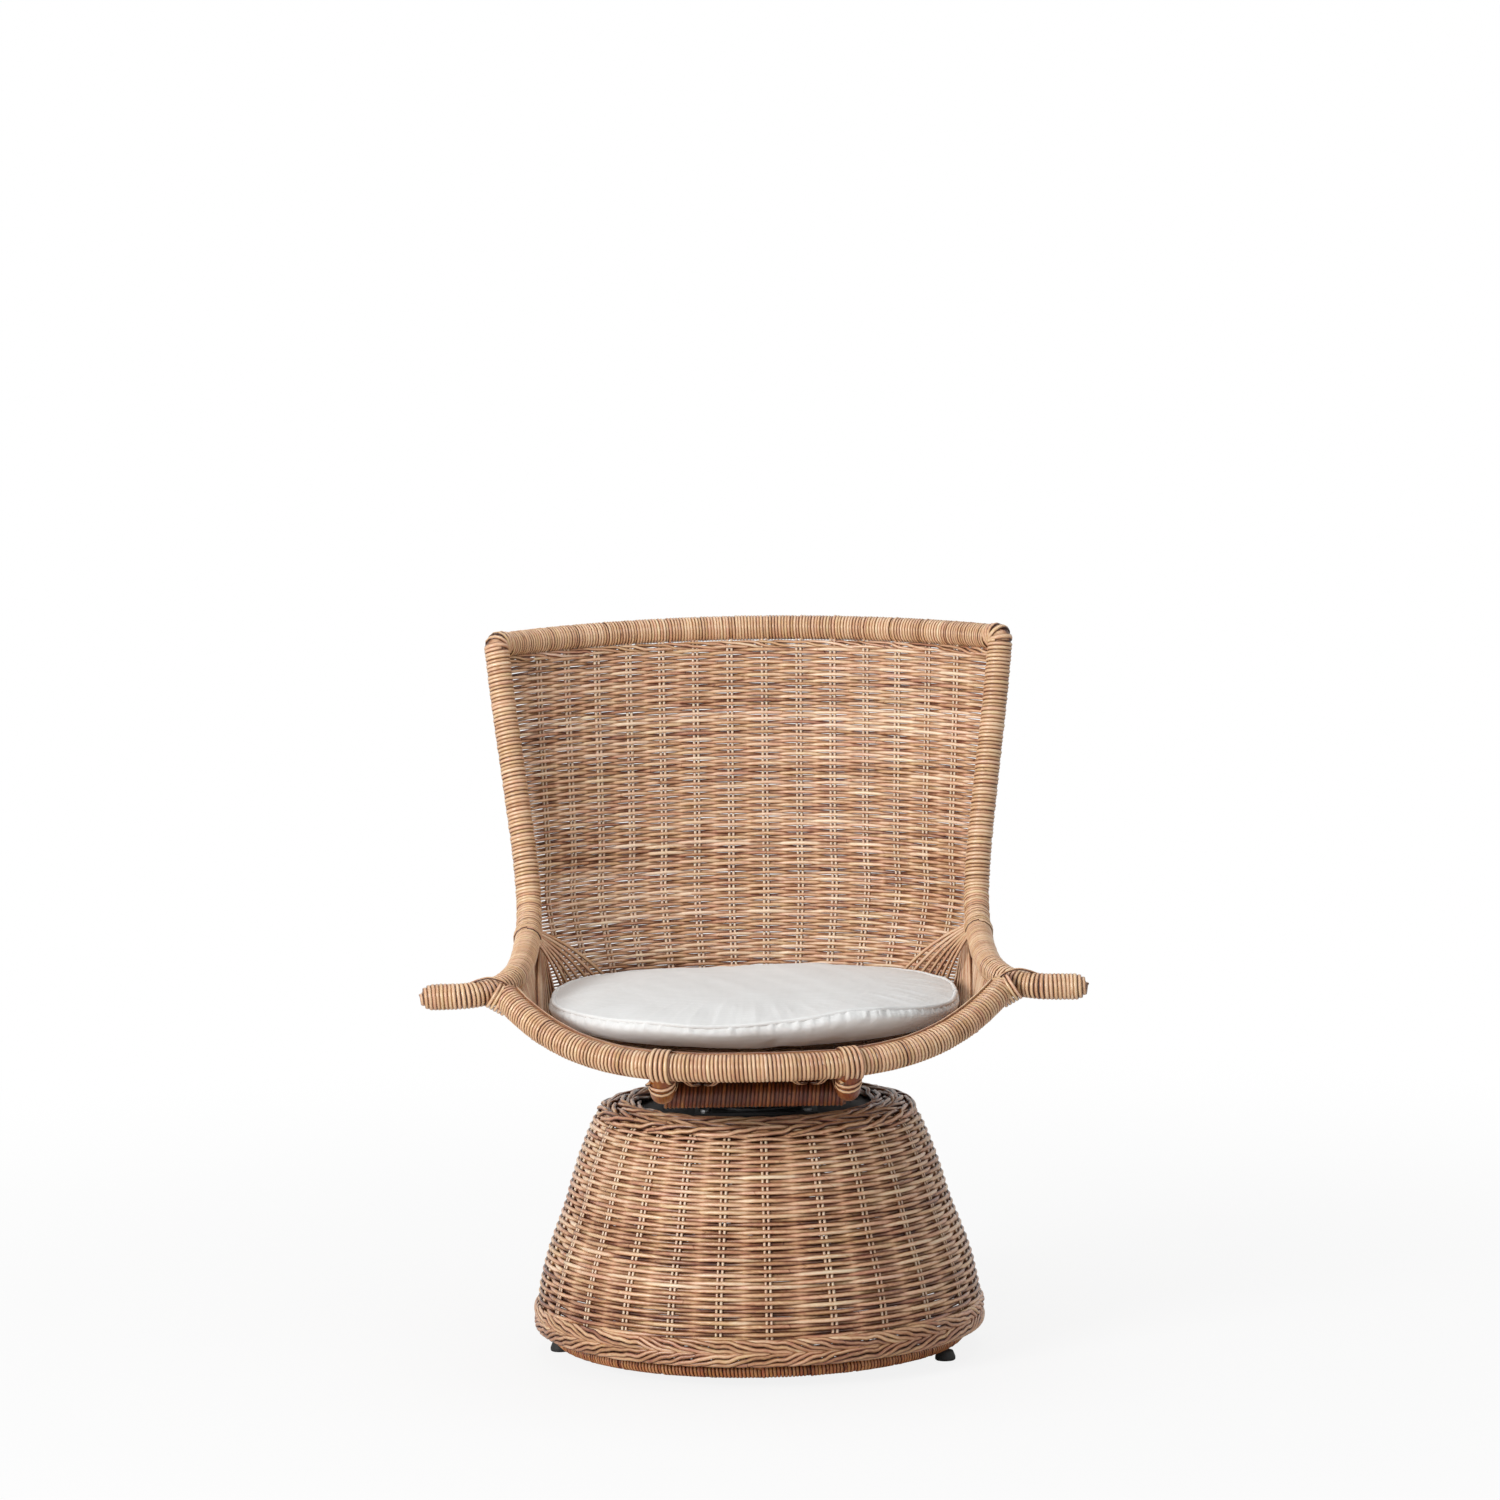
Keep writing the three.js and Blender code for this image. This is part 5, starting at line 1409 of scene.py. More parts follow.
    def build_fan(self, name: str, side: int, waist: float) -> None:
        """The canes from the binding at a side pole's waist over the back's lower corner and the web.

        Those over the corner are parabolas between two ends, p = (1 - w)^2 a + 2 w (1 - w) b + w^2 c, with b
        above their middle. Those over the web start on the pole's inner face and keep 4 mm in front of the
        strands.

        Args:
            name: The side's name.
            side: 1 on the right, -1 on the left.
            waist: Where the binding is, from the pole's start.
        """
        k = np.arange(self.fan)
        start = self.shape.side[side].at(waist + 8 - 4.6 * k) + (-side * 11.5, -12.0, 0.0)
        end, out = self.shape.back(side * (0.955 - 0.048 * k), 392.0 + 4.0 * k)
        end = end + 5.0 * out
        middle = (start + end) / 2 + (-side * 6.0, -9.0, 14.0)
        paths = parabola(start[:, None], middle[:, None], end[:, None], np.linspace(0, 1, 16))
        bundle = Bundle(f"waist_canes_{name}", 180 + side)
        bundle.lay(paths, out[:, None], 4.4, 3.6, 0.66 + bundle.rng.normal(0, 0.09, self.fan), 6)
        w = np.linspace(0.02, 0.96, 16)
        tops, feet = self.shape.web(side, np.linspace(0.05, 0.6, self.web_fan)[:, None] * w**0.9)
        inner = np.array([-float(side), -0.35, 0.25])
        paths = tops * (1 - w[:, None]) + feet * w[:, None] + 4.2 * inner
        paths += (np.maximum(1 - w / 0.4, 0) ** 1.5)[:, None] * (-side * 8.0, -10.0, 0.0)
        bundle.lay(paths, inner, 4.5, 3.8, 0.68 + bundle.rng.normal(0, 0.09, self.web_fan), 6)
        bundle.make("seat", WOVEN, "rattan")

    def build_arm_lashing(self, name: str, side: int) -> None:
        """Slanting turns that bind the rim's end to the arm, and a loose cane arched over them.

        A turn is an ellipse open at its back: c + 16.4 sin(f) d + 19 cos(f) e, with d up along the slant and
        e forwards, for f from -115 to 115 degrees. All is worked out on the left and mirrored for the right.

        Args:
            name: The side's name.
            side: 1 on the right, -1 on the left.
        """
        f = np.radians(np.linspace(-115, 115, 26))[None, :, None]
        k = np.arange(5)[:, None, None]
        centre = np.array([-298.5, -171.0, 451.5]) + k * np.array([4.1, 0.4, -2.4])
        slant, front = np.array([0.527, 0.0, 0.85]), np.array([0.0, -1.0, 0.0])
        turns = centre + 16.4 * np.sin(f) * slant + 19.0 * np.cos(f) * front
        outward = np.sin(f) * slant + np.cos(f) * front
        loose = route(self.loose_cane, np.linspace(0, 1, 30))
        mirror = np.array([-side, 1.0, 1.0])
        bundle = Bundle(f"arm_lashing_{name}", 184 + side)
        bundle.lay(turns * mirror, outward * mirror, 4.5, 3.3, 0.53 + bundle.rng.normal(0, 0.05, 5), 6)
        bundle.lay(loose * mirror, (0.0, -0.4, 0.9), 3.4, 3.0, 0.4, 6)
        bundle.make("seat", WOUND, "rattan")

    def build_hoop(self) -> None:
        """The hoop under the edge of the woven seat."""
        bundle = Bundle("seat_hoop_winding", 101)
        bundle.core(self.shape.hoop, self.hoop_winding.radius - CORE_INSET, sides=8, steps=60)
        self.hoop_winding.wind(bundle, self.shape.hoop)
        bundle.make("seat", STAINED, "dark_rattan", ("seat_hoop",))

    def runner_line(self, side: int) -> Line3:
        """A runner's middle line: down from the rim, level under the seat, and up to the hoop at the back.

        The bend at its front is a parabola, and the other stretches are straight.

        Args:
            side: 1 on the right, -1 on the left.

        Returns:
            The line.
        """
        x = side * self.runner_x
        front, back = self.shape.rim_at(x), self.shape.hoop_back(x)
        level = np.array([x, 0, self.runner_height])
        a, b = level + (0, front[1], 0), level + (0, front[1] + self.bend, 0)
        bend = parabola(front, a, b, np.linspace(0, 1, 60))
        under_hoop = back[2] - self.hoop_winding.radius - 0.3
        rear = np.array([x, back[1] + self.runner_pole, under_hoop - self.runner_pole])
        last = level + (0, back[1] - 2 * self.bend, 0)
        run = b + (last - b) * np.linspace(0.01, 1, 80)[:, None]
        rise = last + (rear - last) * np.linspace(0.02, 1, 30)[:, None]
        return Line3(np.vstack([bend, run, rise]), (0.0, 0.6, 0.8))

    def build_runner(self, name: str, side: int) -> None:
        """A runner of smooth pole, with bindings of cane below the rim and at the cross rail.

        A turn of the second binding is the ellipse c + 1.2 r cos(f) x + 1.12 r sin(f) u, with x across the
        seat and u up along the runner's face.

        Args:
            name: The side's name.
            side: 1 on the right, -1 on the left.
        """
        line = self.runner_line(side)
        bundle = Bundle(f"runner_pole_{name}", 110 + side)
        bundle.core(line, self.runner_pole, 0.12, 24, 90)
        bundle.make("seat", SKIN, "pale_rattan", (f"runner_{name}",))
        band = Bundle(f"runner_binding_{name}", 114 + side)
        Winding(self.runner_pole + 1.6, 4.2, 2.6, tone=0.45).wind(band, line, 17.0, 27.0)
        joint = line.where(1, self.cross_places[0][1])
        turn = np.linspace(0, 2 * np.pi, 25)[None, :, None]
        middle = line.at(joint + 9.0 * np.arange(3) - 14.0)[:, None]
        ring = np.array([1.0, 0.0, 0.0]) * np.cos(turn) + np.array([0.0, 0.55, 0.84]) * np.sin(turn)
        band.lay(middle + (self.runner_pole + 1.4) * ring * (1, 1.2, 1.12), ring, 4.0, 2.8, 0.4, 6)
        band.make("seat", WOUND, "rattan")

    def build_lashing(self, name: str, side: int) -> None:
        """The lashing of a runner to the rim: one flat cane in four turns, with its straight tails.

        At turn t it lies at the middle plus t pitches along the rim, 18.4 mm from the rim's middle line.

        Args:
            name: The side's name.
            side: 1 on the right, -1 on the left.
        """
        rim, pitch, depth, turns = self.shape.rim, 5.6, 3.2, 4
        turn = np.linspace(-turns / 2, turns / 2, turns * 20 + 1)
        s = rim.where(0, side * self.runner_x) + turn * pitch
        up, aside = rim.frame(s)
        angle = 2 * np.pi * turn
        radial = -np.cos(angle)[:, None] * up - np.sin(angle)[:, None] * aside
        path = rim.at(s) + 18.4 * radial
        before = [path[0] + (path[0] - path[1]) * k for k in (2.2, 1.1)]
        after = [path[-1] + (path[-1] - path[-2]) * k for k in (1.1, 2.2)]
        bundle = Bundle(f"rim_lashing_{name}", 120 + side)
        radial = np.pad(radial, ((2, 2), (0, 0)), "edge")
        bundle.lay(np.vstack([before, path, after]), radial, pitch, depth, 0.5, 6)
        bundle.make("seat", WOUND, "rattan", (f"lashing_{name}",))

    def build_cross_rails(self) -> None:
        """The two cross rails, wound with dark cane, and the ties from the front one to the rim."""
        for name, y in self.cross_places:
            line = Line3(np.array([[x, y, self.runner_height - 16.5] for x in np.linspace(-103, 103, 60)]))
            bundle = Bundle(f"cross_rail_{name}_winding", 130)
            bundle.core(line, self.cross_winding.radius - CORE_INSET, sides=12)
            self.cross_winding.wind(bundle, line)
            bundle.make("seat", STAINED, "dark_rattan", (f"cross_rail_{name}",))
        ties, gather = Bundle("rim_ties", 134), 61.0
        for side in (1, -1):
            for top, tilt in self.tie_places:
                foot = gather + (top - gather) * 0.16 + tilt
                middle = top * 0.55 + foot * 0.45
                points = [(side * top, -318, 372), (side * middle, -272, 358), (side * foot, -222, 350)]
                ties.lay(route(points, np.linspace(0, 1, 16)), (0.0, -0.5, -0.86), 3.0, 2.4, 0.42, 6)
        ties.make("seat", WOVEN, "rattan")


@dataclass
class SeatPan:
    """The woven seat under the cushion, on four cross poles, of which each has its place and half length."""

    shape: Shape
    weave: Weave = Weave(4.6, 3.6, 2.6, 1.5)
    pitch: float = 4.7
    stake_pitch: float = 36.0
    side_stakes: int = 6
    margin: float = 4.0
    pole: float = 5.5
    pole_height: float = 372.3
    poles: tuple[tuple[float, float], ...] = ((-235, 128), (-130, 195), (-20, 221), (90, 199))

    def half_width(self, y: Array) -> Array:
        """How far the woven seat reaches to each side: to the rim in front and to the hoop behind.

        Args:
            y: Places from front to back.

        Returns:
            The reaches.
        """
        hoop, rim = self.shape.half_hoop[::-1], self.shape.rim.points
        rim = rim[(rim[:, 0] > 0) & (rim[:, 0] <= self.shape.hoop_plan[-1][0])]
        y_hoop = np.interp(y, hoop[:, 1], hoop[:, 0])
        y_rim = np.interp(y, rim[:, 1], rim[:, 0])
        return np.where(y < rim[-1, 1], y_rim, y_hoop) - self.margin

    def build(self) -> None:
        """Makes the woven sheet and its poles."""
        y = np.arange(-322, 196, self.pitch)[:, None]
        x = np.linspace(-1, 1, 89)[None] * self.half_width(y)
        y = np.broadcast_to(y, x.shape)
        bundle = Bundle("seat_sheet", 141)
        up = np.broadcast_to((0.0, 0.0, 1.0), (*x.shape, 3))
        places = np.stack([x, y, self.shape.pan(x, y)], -1)
        self.weave.weavers(bundle, places, up, x / self.stake_pitch, 480.0, 0.5, 4)
        for k in np.arange(-self.side_stakes, self.side_stakes + 1):
            y = np.linspace(-325, 200, 400)
            y = y[self.half_width(y) > abs(k * self.stake_pitch)]
            y = np.linspace(y[0], y[-1], 30)[None]
            x = np.full_like(y, k * self.stake_pitch)
            self.weave.stakes(bundle, np.stack([x, y, self.shape.pan(x, y)], -1), up[:1, :30], 0.5, 5)
        bundle.make("seat", WOVEN, "rattan", ("seat_weave",))
        for i, (y, reach) in enumerate(self.poles):
            line = Line3(np.array([[x, y, self.pole_height] for x in np.linspace(-reach, reach, 40)]))
            bundle = Bundle(f"seat_pole_{i + 1}", 150 + i)
            bundle.core(line, self.pole, 0.45, 12)
            bundle.make("seat", STAINED, "dark_rattan", (f"seat_rib_{i + 1}",))


@dataclass
class Back:
    """The woven back and the strands at its sides.

    The weavers are thinner near the side poles and, lower down, towards the left, where the photograph shows
    gaps.
    """

    shape: Shape
    weave: Weave = Weave(4.7, 3.7, 2.8, 1.75, 2.6, 0.34)
    pitch: float = 3.75
    foot: float = 389.0
    top: float = 806.0
    side_slack: float = 0.24
    low_slack: float = 0.22
    stake_count: int = 14
    web_strands: int = 44

    def spacing(self, height: Array) -> tuple[Array, Array]:
        """Distance between stakes and their shift to one side, as shares of half a row, at a height."""
        down = (790 - height) / 336
        return 0.1236 + 0.0124 * down, -0.007 - 0.0085 * down

    def build(self) -> None:
        """Makes the woven panel, its roped top row and the side webs."""
        middle_stake = (self.stake_count - 1) / 2
        rows = round((self.top - self.foot) / self.pitch)
        height = np.linspace(self.foot, self.top, rows)[:, None]
        across = np.linspace(-0.992, 0.992, 97)[None]
        step, shift = self.spacing(height)
        points, normals = self.shape.back(*np.broadcast_arrays(across, height))
        low = np.clip((640 - height) / 240, 0, 1)
        slack = self.side_slack * np.clip((np.abs(across) - 0.86) / 0.1, 0, 1)
        slack = slack + self.low_slack * low * np.clip((-across - 0.35) / 0.45, 0, 1)
        numbers = (across - shift) / step + middle_stake
        bundle = Bundle("back_panel", 161)
        self.weave.weavers(bundle, points, normals, numbers, 640.0, 0.6, spread=0.13, slack=slack)
        height = np.linspace(self.foot - 4, self.top + 12, 40)[None]
        step, shift = self.spacing(height)
        stake = (np.arange(self.stake_count) - middle_stake)[:, None]
        points, normals = self.shape.back(*np.broadcast_arrays(stake * step + shift, height))
        self.weave.stakes(bundle, points, normals, 1.0)
        across = np.linspace(-0.97, 0.97, 150)
        middle, out = self.shape.back(across, np.full_like(across, self.top + 2.6))
        length = np.linalg.norm(np.diff(middle, axis=0), axis=1).mean()
        up = unit(np.cross(out, np.gradient(middle, axis=0)))
        Rope(4, 118.0, 3.4, 2.6, 4.0, 1, 0.56).twist(bundle, middle, up, out, length)
        bundle.make("seat", WOVEN, "rattan", ("back_weave",))
        for name, side in (("right", 1), ("left", -1)):
            self.build_web(name, side)

    def build_web(self, name: str, side: int) -> None:
        """Close strands from the side rail down to the seat's hoop, each a straight line with a slight waver.

        Args:
            name: The side's name.
            side: 1 on the right, -1 on the left.
        """
        tops, feet = self.shape.web(side, np.linspace(0, 1, self.web_strands))
        w = np.linspace(0, 1, 7)[None, :, None]
        points = tops[:, None] * (1 - w) + feet[:, None] * w
        bundle = Bundle(f"side_web_{name}_strands", 170 + side)
        points[:, 1:-1, 1] += bundle.rng.normal(0, 0.4, (self.web_strands, 5))
        tones = 0.7 + bundle.rng.normal(0, 0.1, self.web_strands)
        bundle.lay(points, (float(side), 0.0, 0.2), 4.9, 4.0, tones, 6)
        bundle.make("seat", WOVEN, "rattan", (f"side_web_{name}",))


# ------------------------------------------------------------------ cushion
@dataclass
class Cushion:
    """The loose round cushion: two crowned panels that meet in a piped seam.

    The seam's heights, the crown and the clearance are above the seat level, and the wave gives the seam's
    height across the front. The blank is a little smaller than the finished cushion by its shrink. The
    cloth's movement is kept in the shares given for x, y and z, up to its cap.
    """

    shape: Shape
    half_width: float = 242.0
    front: float = -295.0
    rear: float = 172.0
    squareness: float = 2.65
    seam_front: float = 46.0
    seam_side: float = 49.0
    crown: float = 66.0
    clearance: float = 4.9
    piping: float = 2.6
    around: int = 120
    shrink: float = 0.035
    voxel: float = 5.5
    frames: int = 20
    kept: tuple[float, float, float] = (0.1, 0.1, 0.35)
    cap: float = 24.0
    wave: tuple[tuple[float, float], ...] = (
        (-242, 437), (-205, 433), (-166, 431), (-118, 430.5), (-80, 427.5), (-54, 426), (-22, 426.8),
        (10, 429), (42, 431.4), (74, 435.2), (100, 439), (122, 440.8), (155, 439.5), (187, 436), (222, 432.6),
        (242, 430))

    def __post_init__(self) -> None:
        """Works out the middle of the outline in plan."""
        self.middle = np.array([0.0, (self.front + self.rear) / 2])

    def outline(self, turn: Array) -> Array:
        """The cushion's edge in plan, a superellipse: |x/a|^n + |y/b|^n = 1.

        Args:
            turn: The outline's parameter.

        Returns:
            Rows of x and y.
        """
        c, s = np.cos(turn), np.sin(turn)
        reach = (np.abs(c) ** self.squareness + np.abs(s) ** self.squareness) ** (-1 / self.squareness)
        x, y = reach * c * self.half_width, reach * s * (self.rear - self.front) / 2
        return self.middle + np.stack([x, y], -1)

    def seam(self, turn: Array) -> Array:
        """Height of the seam round the cushion, which waves at the front.

        Args:
            turn: The outline's parameter.

        Returns:
            The heights.
        """
        c, s = np.cos(turn), np.sin(turn)
        rise = (self.seam_side - self.seam_front) * np.where(s < 0, c**2, 1)
        level = self.shape.level + self.seam_front + rise
        x = self.outline(turn)[:, 0]
        waved = np.interp(x, *zip(*self.wave))
        front = np.clip(-s * 1.6, 0, 1) ** 1.5
        return level * (1 - front) + waved * front + 1.2 * smooth_noise(turn * 1.1, 7) * (1 - front)

    def blank(self) -> tuple[Array, list[Array]]:
        """The crowned form before it swells.

        Rings go from the top's middle out over the seam and in under it. A share p of the way out lies at the
        height seam + (crown - seam)(1 - p^3)^0.62. Below it the underside goes towards the woven seat by (1 -
        p^7)^0.5, which keeps the wall steep.

        Returns:
            Vertices and faces.
        """
        count, hem = self.around, 3
        turn = np.arange(count) * 2 * np.pi / count
        edge, seam = self.outline(turn), self.seam(turn)
        shares = np.concatenate([np.linspace(0.06, 0.9, 16), np.sin(np.linspace(1.14, np.pi / 2, 10))])
        top, foot = self.shape.level + self.crown - hem, self.shape.level + self.clearance + hem
        rings = []
        for goal, order, power, root in ((top, shares, 3, 0.62), (foot, shares[:-1][::-1], 7, 0.5)):
            for p in order:
                plan = self.middle + (edge - self.middle) * p * (1 - self.shrink)
                rise = (1 - p**power) ** root
                rings.append(np.column_stack([plan, seam + (goal - seam) * rise]))
        rings = np.stack(rings)
        vertices = np.vstack([rings.reshape(-1, 3), [[*self.middle, top], [*self.middle, foot]]])
        quads, fans = ring_faces(len(rings), count)
        return vertices, [quads[:, [0, 3, 2, 1]], fans[:, [1, 0, 2]]]

    def swell(self, thing: bpy.types.Object) -> None:
        """Fills the cover by cloth simulation under pressure, and keeps a part of what it does.

        A tenth of the movement sideways and about a third of it in height are kept. Both fade out at the seam
        and are capped.

        Args:
            thing: The cover.
        """
        select(thing)
        remesh = thing.modifiers.new("remesh", "REMESH")
        remesh.mode = "VOXEL"
        remesh.voxel_size = self.voxel * MM
        bpy.ops.object.modifier_apply(modifier=remesh.name)
        rest = coordinates(thing)
        cloth = thing.modifiers.new("cloth", "CLOTH")
        cloth.settings.use_pressure = True
        cloth.settings.uniform_pressure_force = 4.0
        cloth.settings.effector_weights.gravity = 0.0
        cloth.settings.quality = 6
        cloth.settings.tension_stiffness = 30.0
        cloth.settings.bending_stiffness = 6.0
        cloth.point_cache.frame_start, cloth.point_cache.frame_end = 1, self.frames
        for number in range(1, self.frames + 1):
            bpy.context.scene.frame_set(number)
        bpy.ops.object.modifier_apply(modifier=cloth.name)
        bpy.context.scene.frame_set(1)
        moved = coordinates(thing)
        if len(moved) == len(rest):
            _, share, _ = self.polar(rest / MM)
            shift = (moved - rest) / MM * self.kept * np.clip((1 - share) / 0.12, 0, 1)[:, None]
            length = np.linalg.norm(shift, axis=1, keepdims=True)
            shift *= np.minimum(1, self.cap / np.maximum(length, 1e-6))
            set_coordinates(thing, rest + shift * MM)
        smooth = thing.modifiers.new("smooth", "SUBSURF")
        smooth.levels = smooth.render_levels = 1
        bpy.ops.object.modifier_apply(modifier=smooth.name)

    def settle(self, thing: bpy.types.Object) -> None:
        """Brings the swollen cover to its size, draws it in along the seam, and dents and creases its top.

        Heights are carried onto the range from the woven seat to the crown, above and below the seam on their
        own. Near the seam the cover is pulled in by 5 exp(-(d / 6.5)^2) millimetres at a height d from it,
        with fine puckers and wider ones of 0.8 mm.

        Args:
            thing: The cover.
        """
        p = coordinates(thing) / MM
        low, high = self.shape.level + self.clearance, self.shape.level + self.crown
        turn, share, reach = self.polar(p)
        here = share * reach
        seam = self.seam(turn)
        above, below = (high - seam) / (p[:, 2].max() - seam), (seam - low) / (seam - p[:, 2].min())
        p[:, 2] = seam + (p[:, 2] - seam) * np.where(p[:, 2] > seam, above, below)
        share = share / np.percentile(share, 99.9)
        d = p[:, 2] - seam
        near = np.clip((share - 0.8) / 0.2, 0, 1)
        pucker = 1 + 0.5 * smooth_noise(turn * 26, 3)
        wide_pucker = 0.8 * smooth_noise(turn * 17, 9)
        pull = (5.0 * np.exp(-((d / 6.5) ** 2)) * pucker + wide_pucker * np.exp(-((d / 16) ** 2))) * near
        scale = (share * reach - pull) / np.maximum(here, 1e-6)
        p[:, :2] = self.middle + (p[:, :2] - self.middle) * scale[:, None]
        dent = -4.0 * np.exp(-(((p[:, 0] - 78) / 60) ** 2 + ((p[:, 1] + 235) / 42) ** 2))
        dent += 1.3 * smooth_noise(p[:, 0] / 150 + 0.4 * p[:, 1] / 150, 13) * (1 - share**4)
        crease_band = np.clip((share - 0.62) / 0.2, 0, 1) * np.clip((1.0 - share) / 0.08, 0, 1)
        crease = 0.9 * smooth_noise(turn * 9 + p[:, 0] / 300, 15) * crease_band
        p[:, 2] += (dent + crease) * np.clip(d / 8, 0, 1)
        set_coordinates(thing, p * MM)

    def polar(self, p: Array) -> tuple[Array, Array, Array]:
        """Where points lie in the outline.

        Args:
            p: Points, of which x and y count.

        Returns:
            The outline's parameter in the direction of each point, the share of the way out to the outline,
            and the outline's distance from the middle there.
        """
        dense = np.linspace(-np.pi, np.pi, 2001)
        edge = self.outline(dense) - self.middle
        x, y = p[:, 0], p[:, 1] - self.middle[1]
        turn = np.interp(np.arctan2(y, x), np.arctan2(edge[:, 1], edge[:, 0]), dense)
        reach = np.linalg.norm(self.outline(turn) - self.middle, axis=1)
        return turn, np.hypot(x, y) / reach, reach

    def build(self) -> None:
        """Makes the cushion and the piping that lies in its seam."""
        thing = mesh_object("cushion_cover", *self.blank())
        self.swell(thing)
        self.settle(thing)
        thing.data.polygons.foreach_set("use_smooth", np.ones(len(thing.data.polygons), bool))
        place_piece(thing, "cushion", LINEN, ("seat_cushion",))
        self.build_piping(thing)

    def build_piping(self, cover: bpy.types.Object) -> None:
        """The corded seam, laid where rays from outside meet the cover at the seam's height.

        Args:
            cover: The finished cover.
        """
        tree = BVHTree.FromObject(cover, bpy.context.evaluated_depsgraph_get())
        count, outside, window, proud = 300, 60, 9, 0.6
        turn = np.linspace(0, 2 * np.pi, count + 1)
        edge, height = self.outline(turn), self.seam(turn)
        reach = np.zeros(count + 1)
        for i in range(count + 1):
            inwards = unit(self.middle - edge[i])
            start = Vector((*(edge[i] - inwards * outside), height[i])) * MM
            hit = tree.ray_cast(start, Vector((*inwards, 0)))[0]
            if hit:
                reach[i] = np.hypot(hit.x / MM, hit.y / MM - self.middle[1])
            else:
                reach[i] = np.linalg.norm(edge[i] - self.middle)
        kernel, half = np.hanning(window) / np.hanning(window).sum(), window // 2
        reach = np.concatenate([reach[-half - 1:-1], reach, reach[1:half + 1]])
        reach = np.convolve(reach, kernel, "valid")
        plan = self.middle + unit(edge - self.middle) * (reach + proud)[:, None]
        out = unit(np.column_stack([edge - self.middle, np.zeros(count + 1)]))
        bundle = Bundle("cushion_piping_cord", 191)
        bundle.lay(np.column_stack([plan, height]), out, 2 * self.piping, 2 * self.piping, 0.5, 10)
        bundle.make("cushion", LINEN, "linen", ("cushion_piping",))


def select(thing: bpy.types.Object) -> None:
    """Makes one object the selected and active one.

    Args:
        thing: The object.
    """
    bpy.ops.object.select_all(action="DESELECT")
    thing.select_set(True)
    bpy.context.view_layer.objects.active = thing


def coordinates(thing: bpy.types.Object) -> Array:
    """The vertices of an object's mesh.

    Args:
        thing: The object.

    Returns:
        Rows of x, y, z in metres.
    """
    flat = np.zeros(len(thing.data.vertices) * 3, np.float32)
    thing.data.vertices.foreach_get("co", flat)
    return flat.reshape(-1, 3).astype(float)


def set_coordinates(thing: bpy.types.Object, points: Array) -> None:
    """Moves the vertices of an object's mesh."""
    thing.data.vertices.foreach_set("co", points.astype(np.float32).ravel())
    thing.data.update()


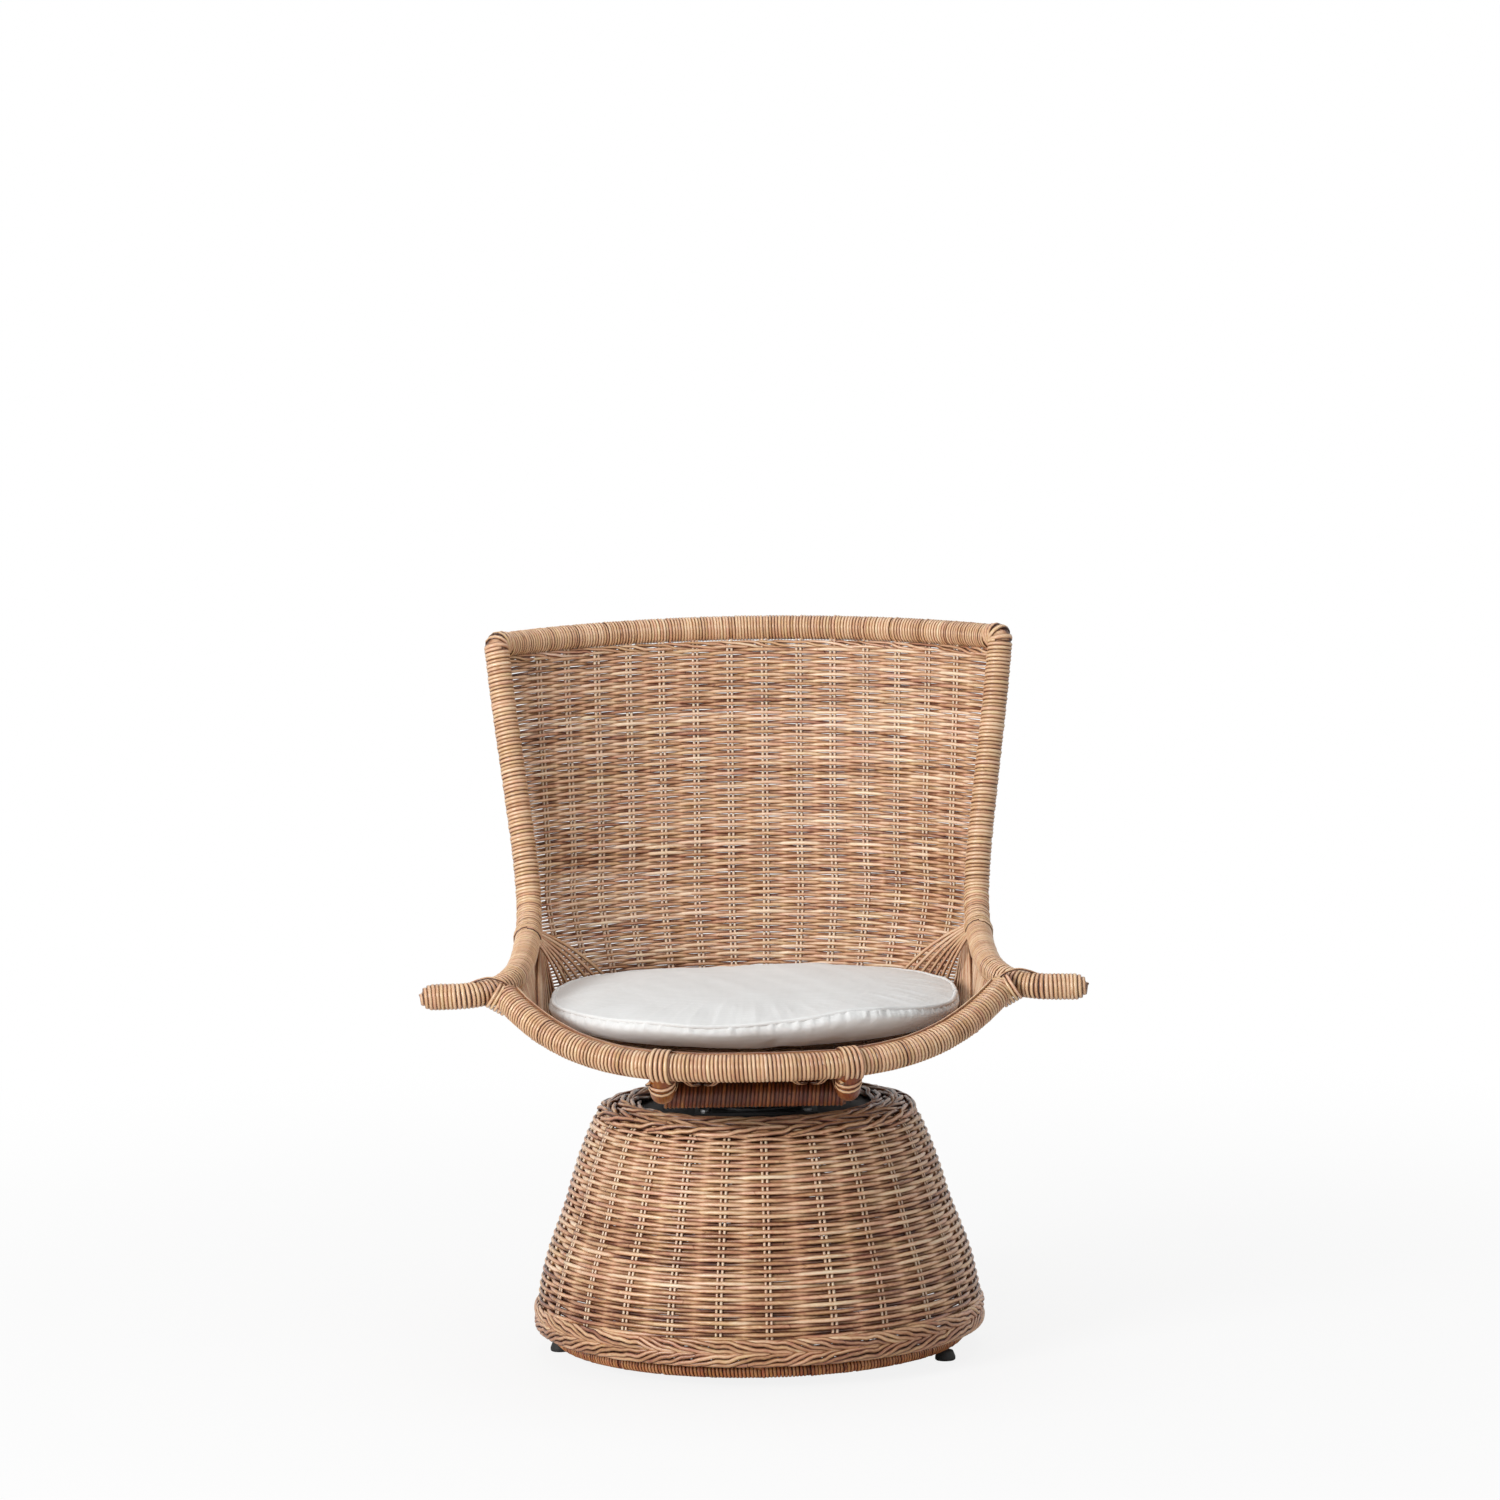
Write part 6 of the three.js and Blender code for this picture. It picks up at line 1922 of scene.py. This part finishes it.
# ------------------------------------------------------------------ studio
@dataclass
class Studio:
    """A white floor, soft lamps and the camera.

    The floor's sizes are in millimetres, and its fade gives the distances from the chair between which its
    glow rises to full. All else is in metres and degrees. A lamp has a name, a place, a size and a power in
    watts.
    """

    distance: float = 6.113
    eye: float = 1.2767
    azimuth: float = 0.086
    pitch: float = 5.27
    roll: float = 0.977
    lens: float = 124.99
    floor_side: float = 60000.0
    floor_cells: int = 8
    floor_drop: float = 0.2
    floor_glow: float = 0.86
    floor_fade: tuple[float, float] = (350.0, 2400.0)
    world_glow: float = 0.27
    lamps: tuple[tuple[str, tuple[float, float, float], float, float], ...] = (
        ("key", (-3.2, -3.3, 1.9), 1.8, 165.0), ("fill", (3.2, -2.8, 1.2), 2.4, 17.0),
        ("top", (0.1, 0.2, 3.4), 2.2, 32.0))
    lamp_aim: tuple[float, float, float] = (0.0, 0.0, 0.45)

    def build(self) -> None:
        """Sets up the floor, the world, the lamps and the camera."""
        self.build_floor()
        self.build_world()
        for lamp in self.lamps:
            self.lamp(*lamp)
        self.build_camera()
        bpy.context.scene.view_settings.view_transform = "Standard"

    def build_floor(self) -> None:
        """A wide floor, which shows white but keeps the chair's soft shadow near it."""
        row = self.floor_cells + 1
        grid = np.linspace(-self.floor_side, self.floor_side, row)
        x, y = np.meshgrid(grid, grid)
        vertices = np.stack([x.ravel(), y.ravel(), np.full(x.size, -self.floor_drop)], -1)
        i, j = np.arange(self.floor_cells)[:, None] * row, np.arange(self.floor_cells)[None]
        quads = np.stack([i + j, i + j + 1, i + j + row + 1, i + j + row], -1).reshape(-1, 4)
        floor = mesh_object("floor", vertices, [quads])
        n = Nodes("studio_floor")
        place = n.place()
        tone = n.math("ADD", n.math("MULTIPLY", n.noise(place, (0.002, 0.002, 0.002)), 0.02), 0.86)
        colour = n.add("CombineColor")
        for socket in colour.inputs[:3]:
            n.wire(tone, socket)
        n.wire(colour.outputs[0], n.shader.inputs["Base Color"])
        n.shader.inputs["Roughness"].default_value = 0.9
        glow, mix = n.add("Emission"), n.add("MixShader")
        glow.inputs["Strength"].default_value = 1.0
        length = n.add("VectorMath", operation="LENGTH")
        n.wire(place, length.inputs[0])
        amount = n.range(length.outputs["Value"], *self.floor_fade, self.floor_glow, 1.0)
        n.wire(n.math("MULTIPLY", n.add("LightPath").outputs["Is Camera Ray"], amount), mix.inputs[0])
        n.wire(n.shader.outputs[0], mix.inputs[1])
        n.wire(glow.outputs[0], mix.inputs[2])
        n.wire(mix.outputs[0], n.output.inputs["Surface"])
        floor.data.materials.append(n.material)

    def build_world(self) -> None:
        """A soft even light that the camera and reflections see as white."""
        world = bpy.data.worlds.new("studio")
        bpy.context.scene.world = world
        world.use_nodes = True
        tree = world.node_tree
        tree.nodes.clear()
        path = tree.nodes.new("ShaderNodeLightPath")
        seen = path.outputs["Is Camera Ray"]
        for other in ("Is Glossy Ray", "Is Transmission Ray"):
            most = tree.nodes.new("ShaderNodeMath")
            most.operation = "MAXIMUM"
            tree.links.new(seen, most.inputs[0])
            tree.links.new(path.outputs[other], most.inputs[1])
            seen = most.outputs[0]
        strength = tree.nodes.new("ShaderNodeMapRange")
        strength.inputs["To Min"].default_value = self.world_glow
        strength.inputs["To Max"].default_value = 1.0
        tree.links.new(seen, strength.inputs["Value"])
        back = tree.nodes.new("ShaderNodeBackground")
        back.inputs["Color"].default_value = (1.0, 1.0, 1.0, 1.0)
        tree.links.new(strength.outputs[0], back.inputs["Strength"])
        tree.links.new(back.outputs[0], tree.nodes.new("ShaderNodeOutputWorld").inputs["Surface"])

    def lamp(self, name: str, place: tuple[float, float, float], size: float, power: float) -> None:
        """A square soft lamp, aimed at the seat.

        Args:
            name: Its name.
            place: Where it stands.
            size: Its side.
            power: Its power in watts.
        """
        data = bpy.data.lights.new(name, "AREA")
        data.shape = "SQUARE"
        data.size = size
        data.energy = power
        thing = bpy.data.objects.new(name, data)
        bpy.context.scene.collection.objects.link(thing)
        thing.matrix_world = self.looking(Vector(place), Vector(self.lamp_aim), 0.0)

    def build_camera(self) -> None:
        """The camera, with its axis through the chair's own and a slight roll, as the photograph has it."""
        data = bpy.data.cameras.new("camera")
        data.sensor_width = 36.0
        data.lens = self.lens
        camera = bpy.data.objects.new("camera", data)
        bpy.context.scene.collection.objects.link(camera)
        turn = math.radians(self.azimuth)
        eye = Vector((self.distance * math.sin(turn), -self.distance * math.cos(turn), self.eye))
        aim = Vector((0, 0, self.eye - self.distance * math.tan(math.radians(self.pitch))))
        camera.matrix_world = self.looking(eye, aim, -math.radians(self.roll))
        bpy.context.scene.camera = camera

    @staticmethod
    def looking(eye: Vector, aim: Vector, roll: float) -> Matrix:
        """The place of a lamp or camera that looks from one point to another, rolled by an angle."""
        turn = (aim - eye).to_track_quat("-Z", "Y").to_matrix().to_4x4()
        return Matrix.Translation(eye) @ turn @ Matrix.Rotation(roll, 4, "Z")


def main() -> None:
    """Builds the chair from the floor up, then the studio."""
    logging.basicConfig(level=logging.INFO, format="%(message)s")
    shape = Shape()
    parts = [DrumBase(), Swivel(), SeatFrame(shape), SeatPan(shape), Back(shape), Cushion(shape), Studio()]
    for part in parts:
        log.info("-- %s", type(part).__name__)
        part.build()


if __name__ == "__main__":
    main()
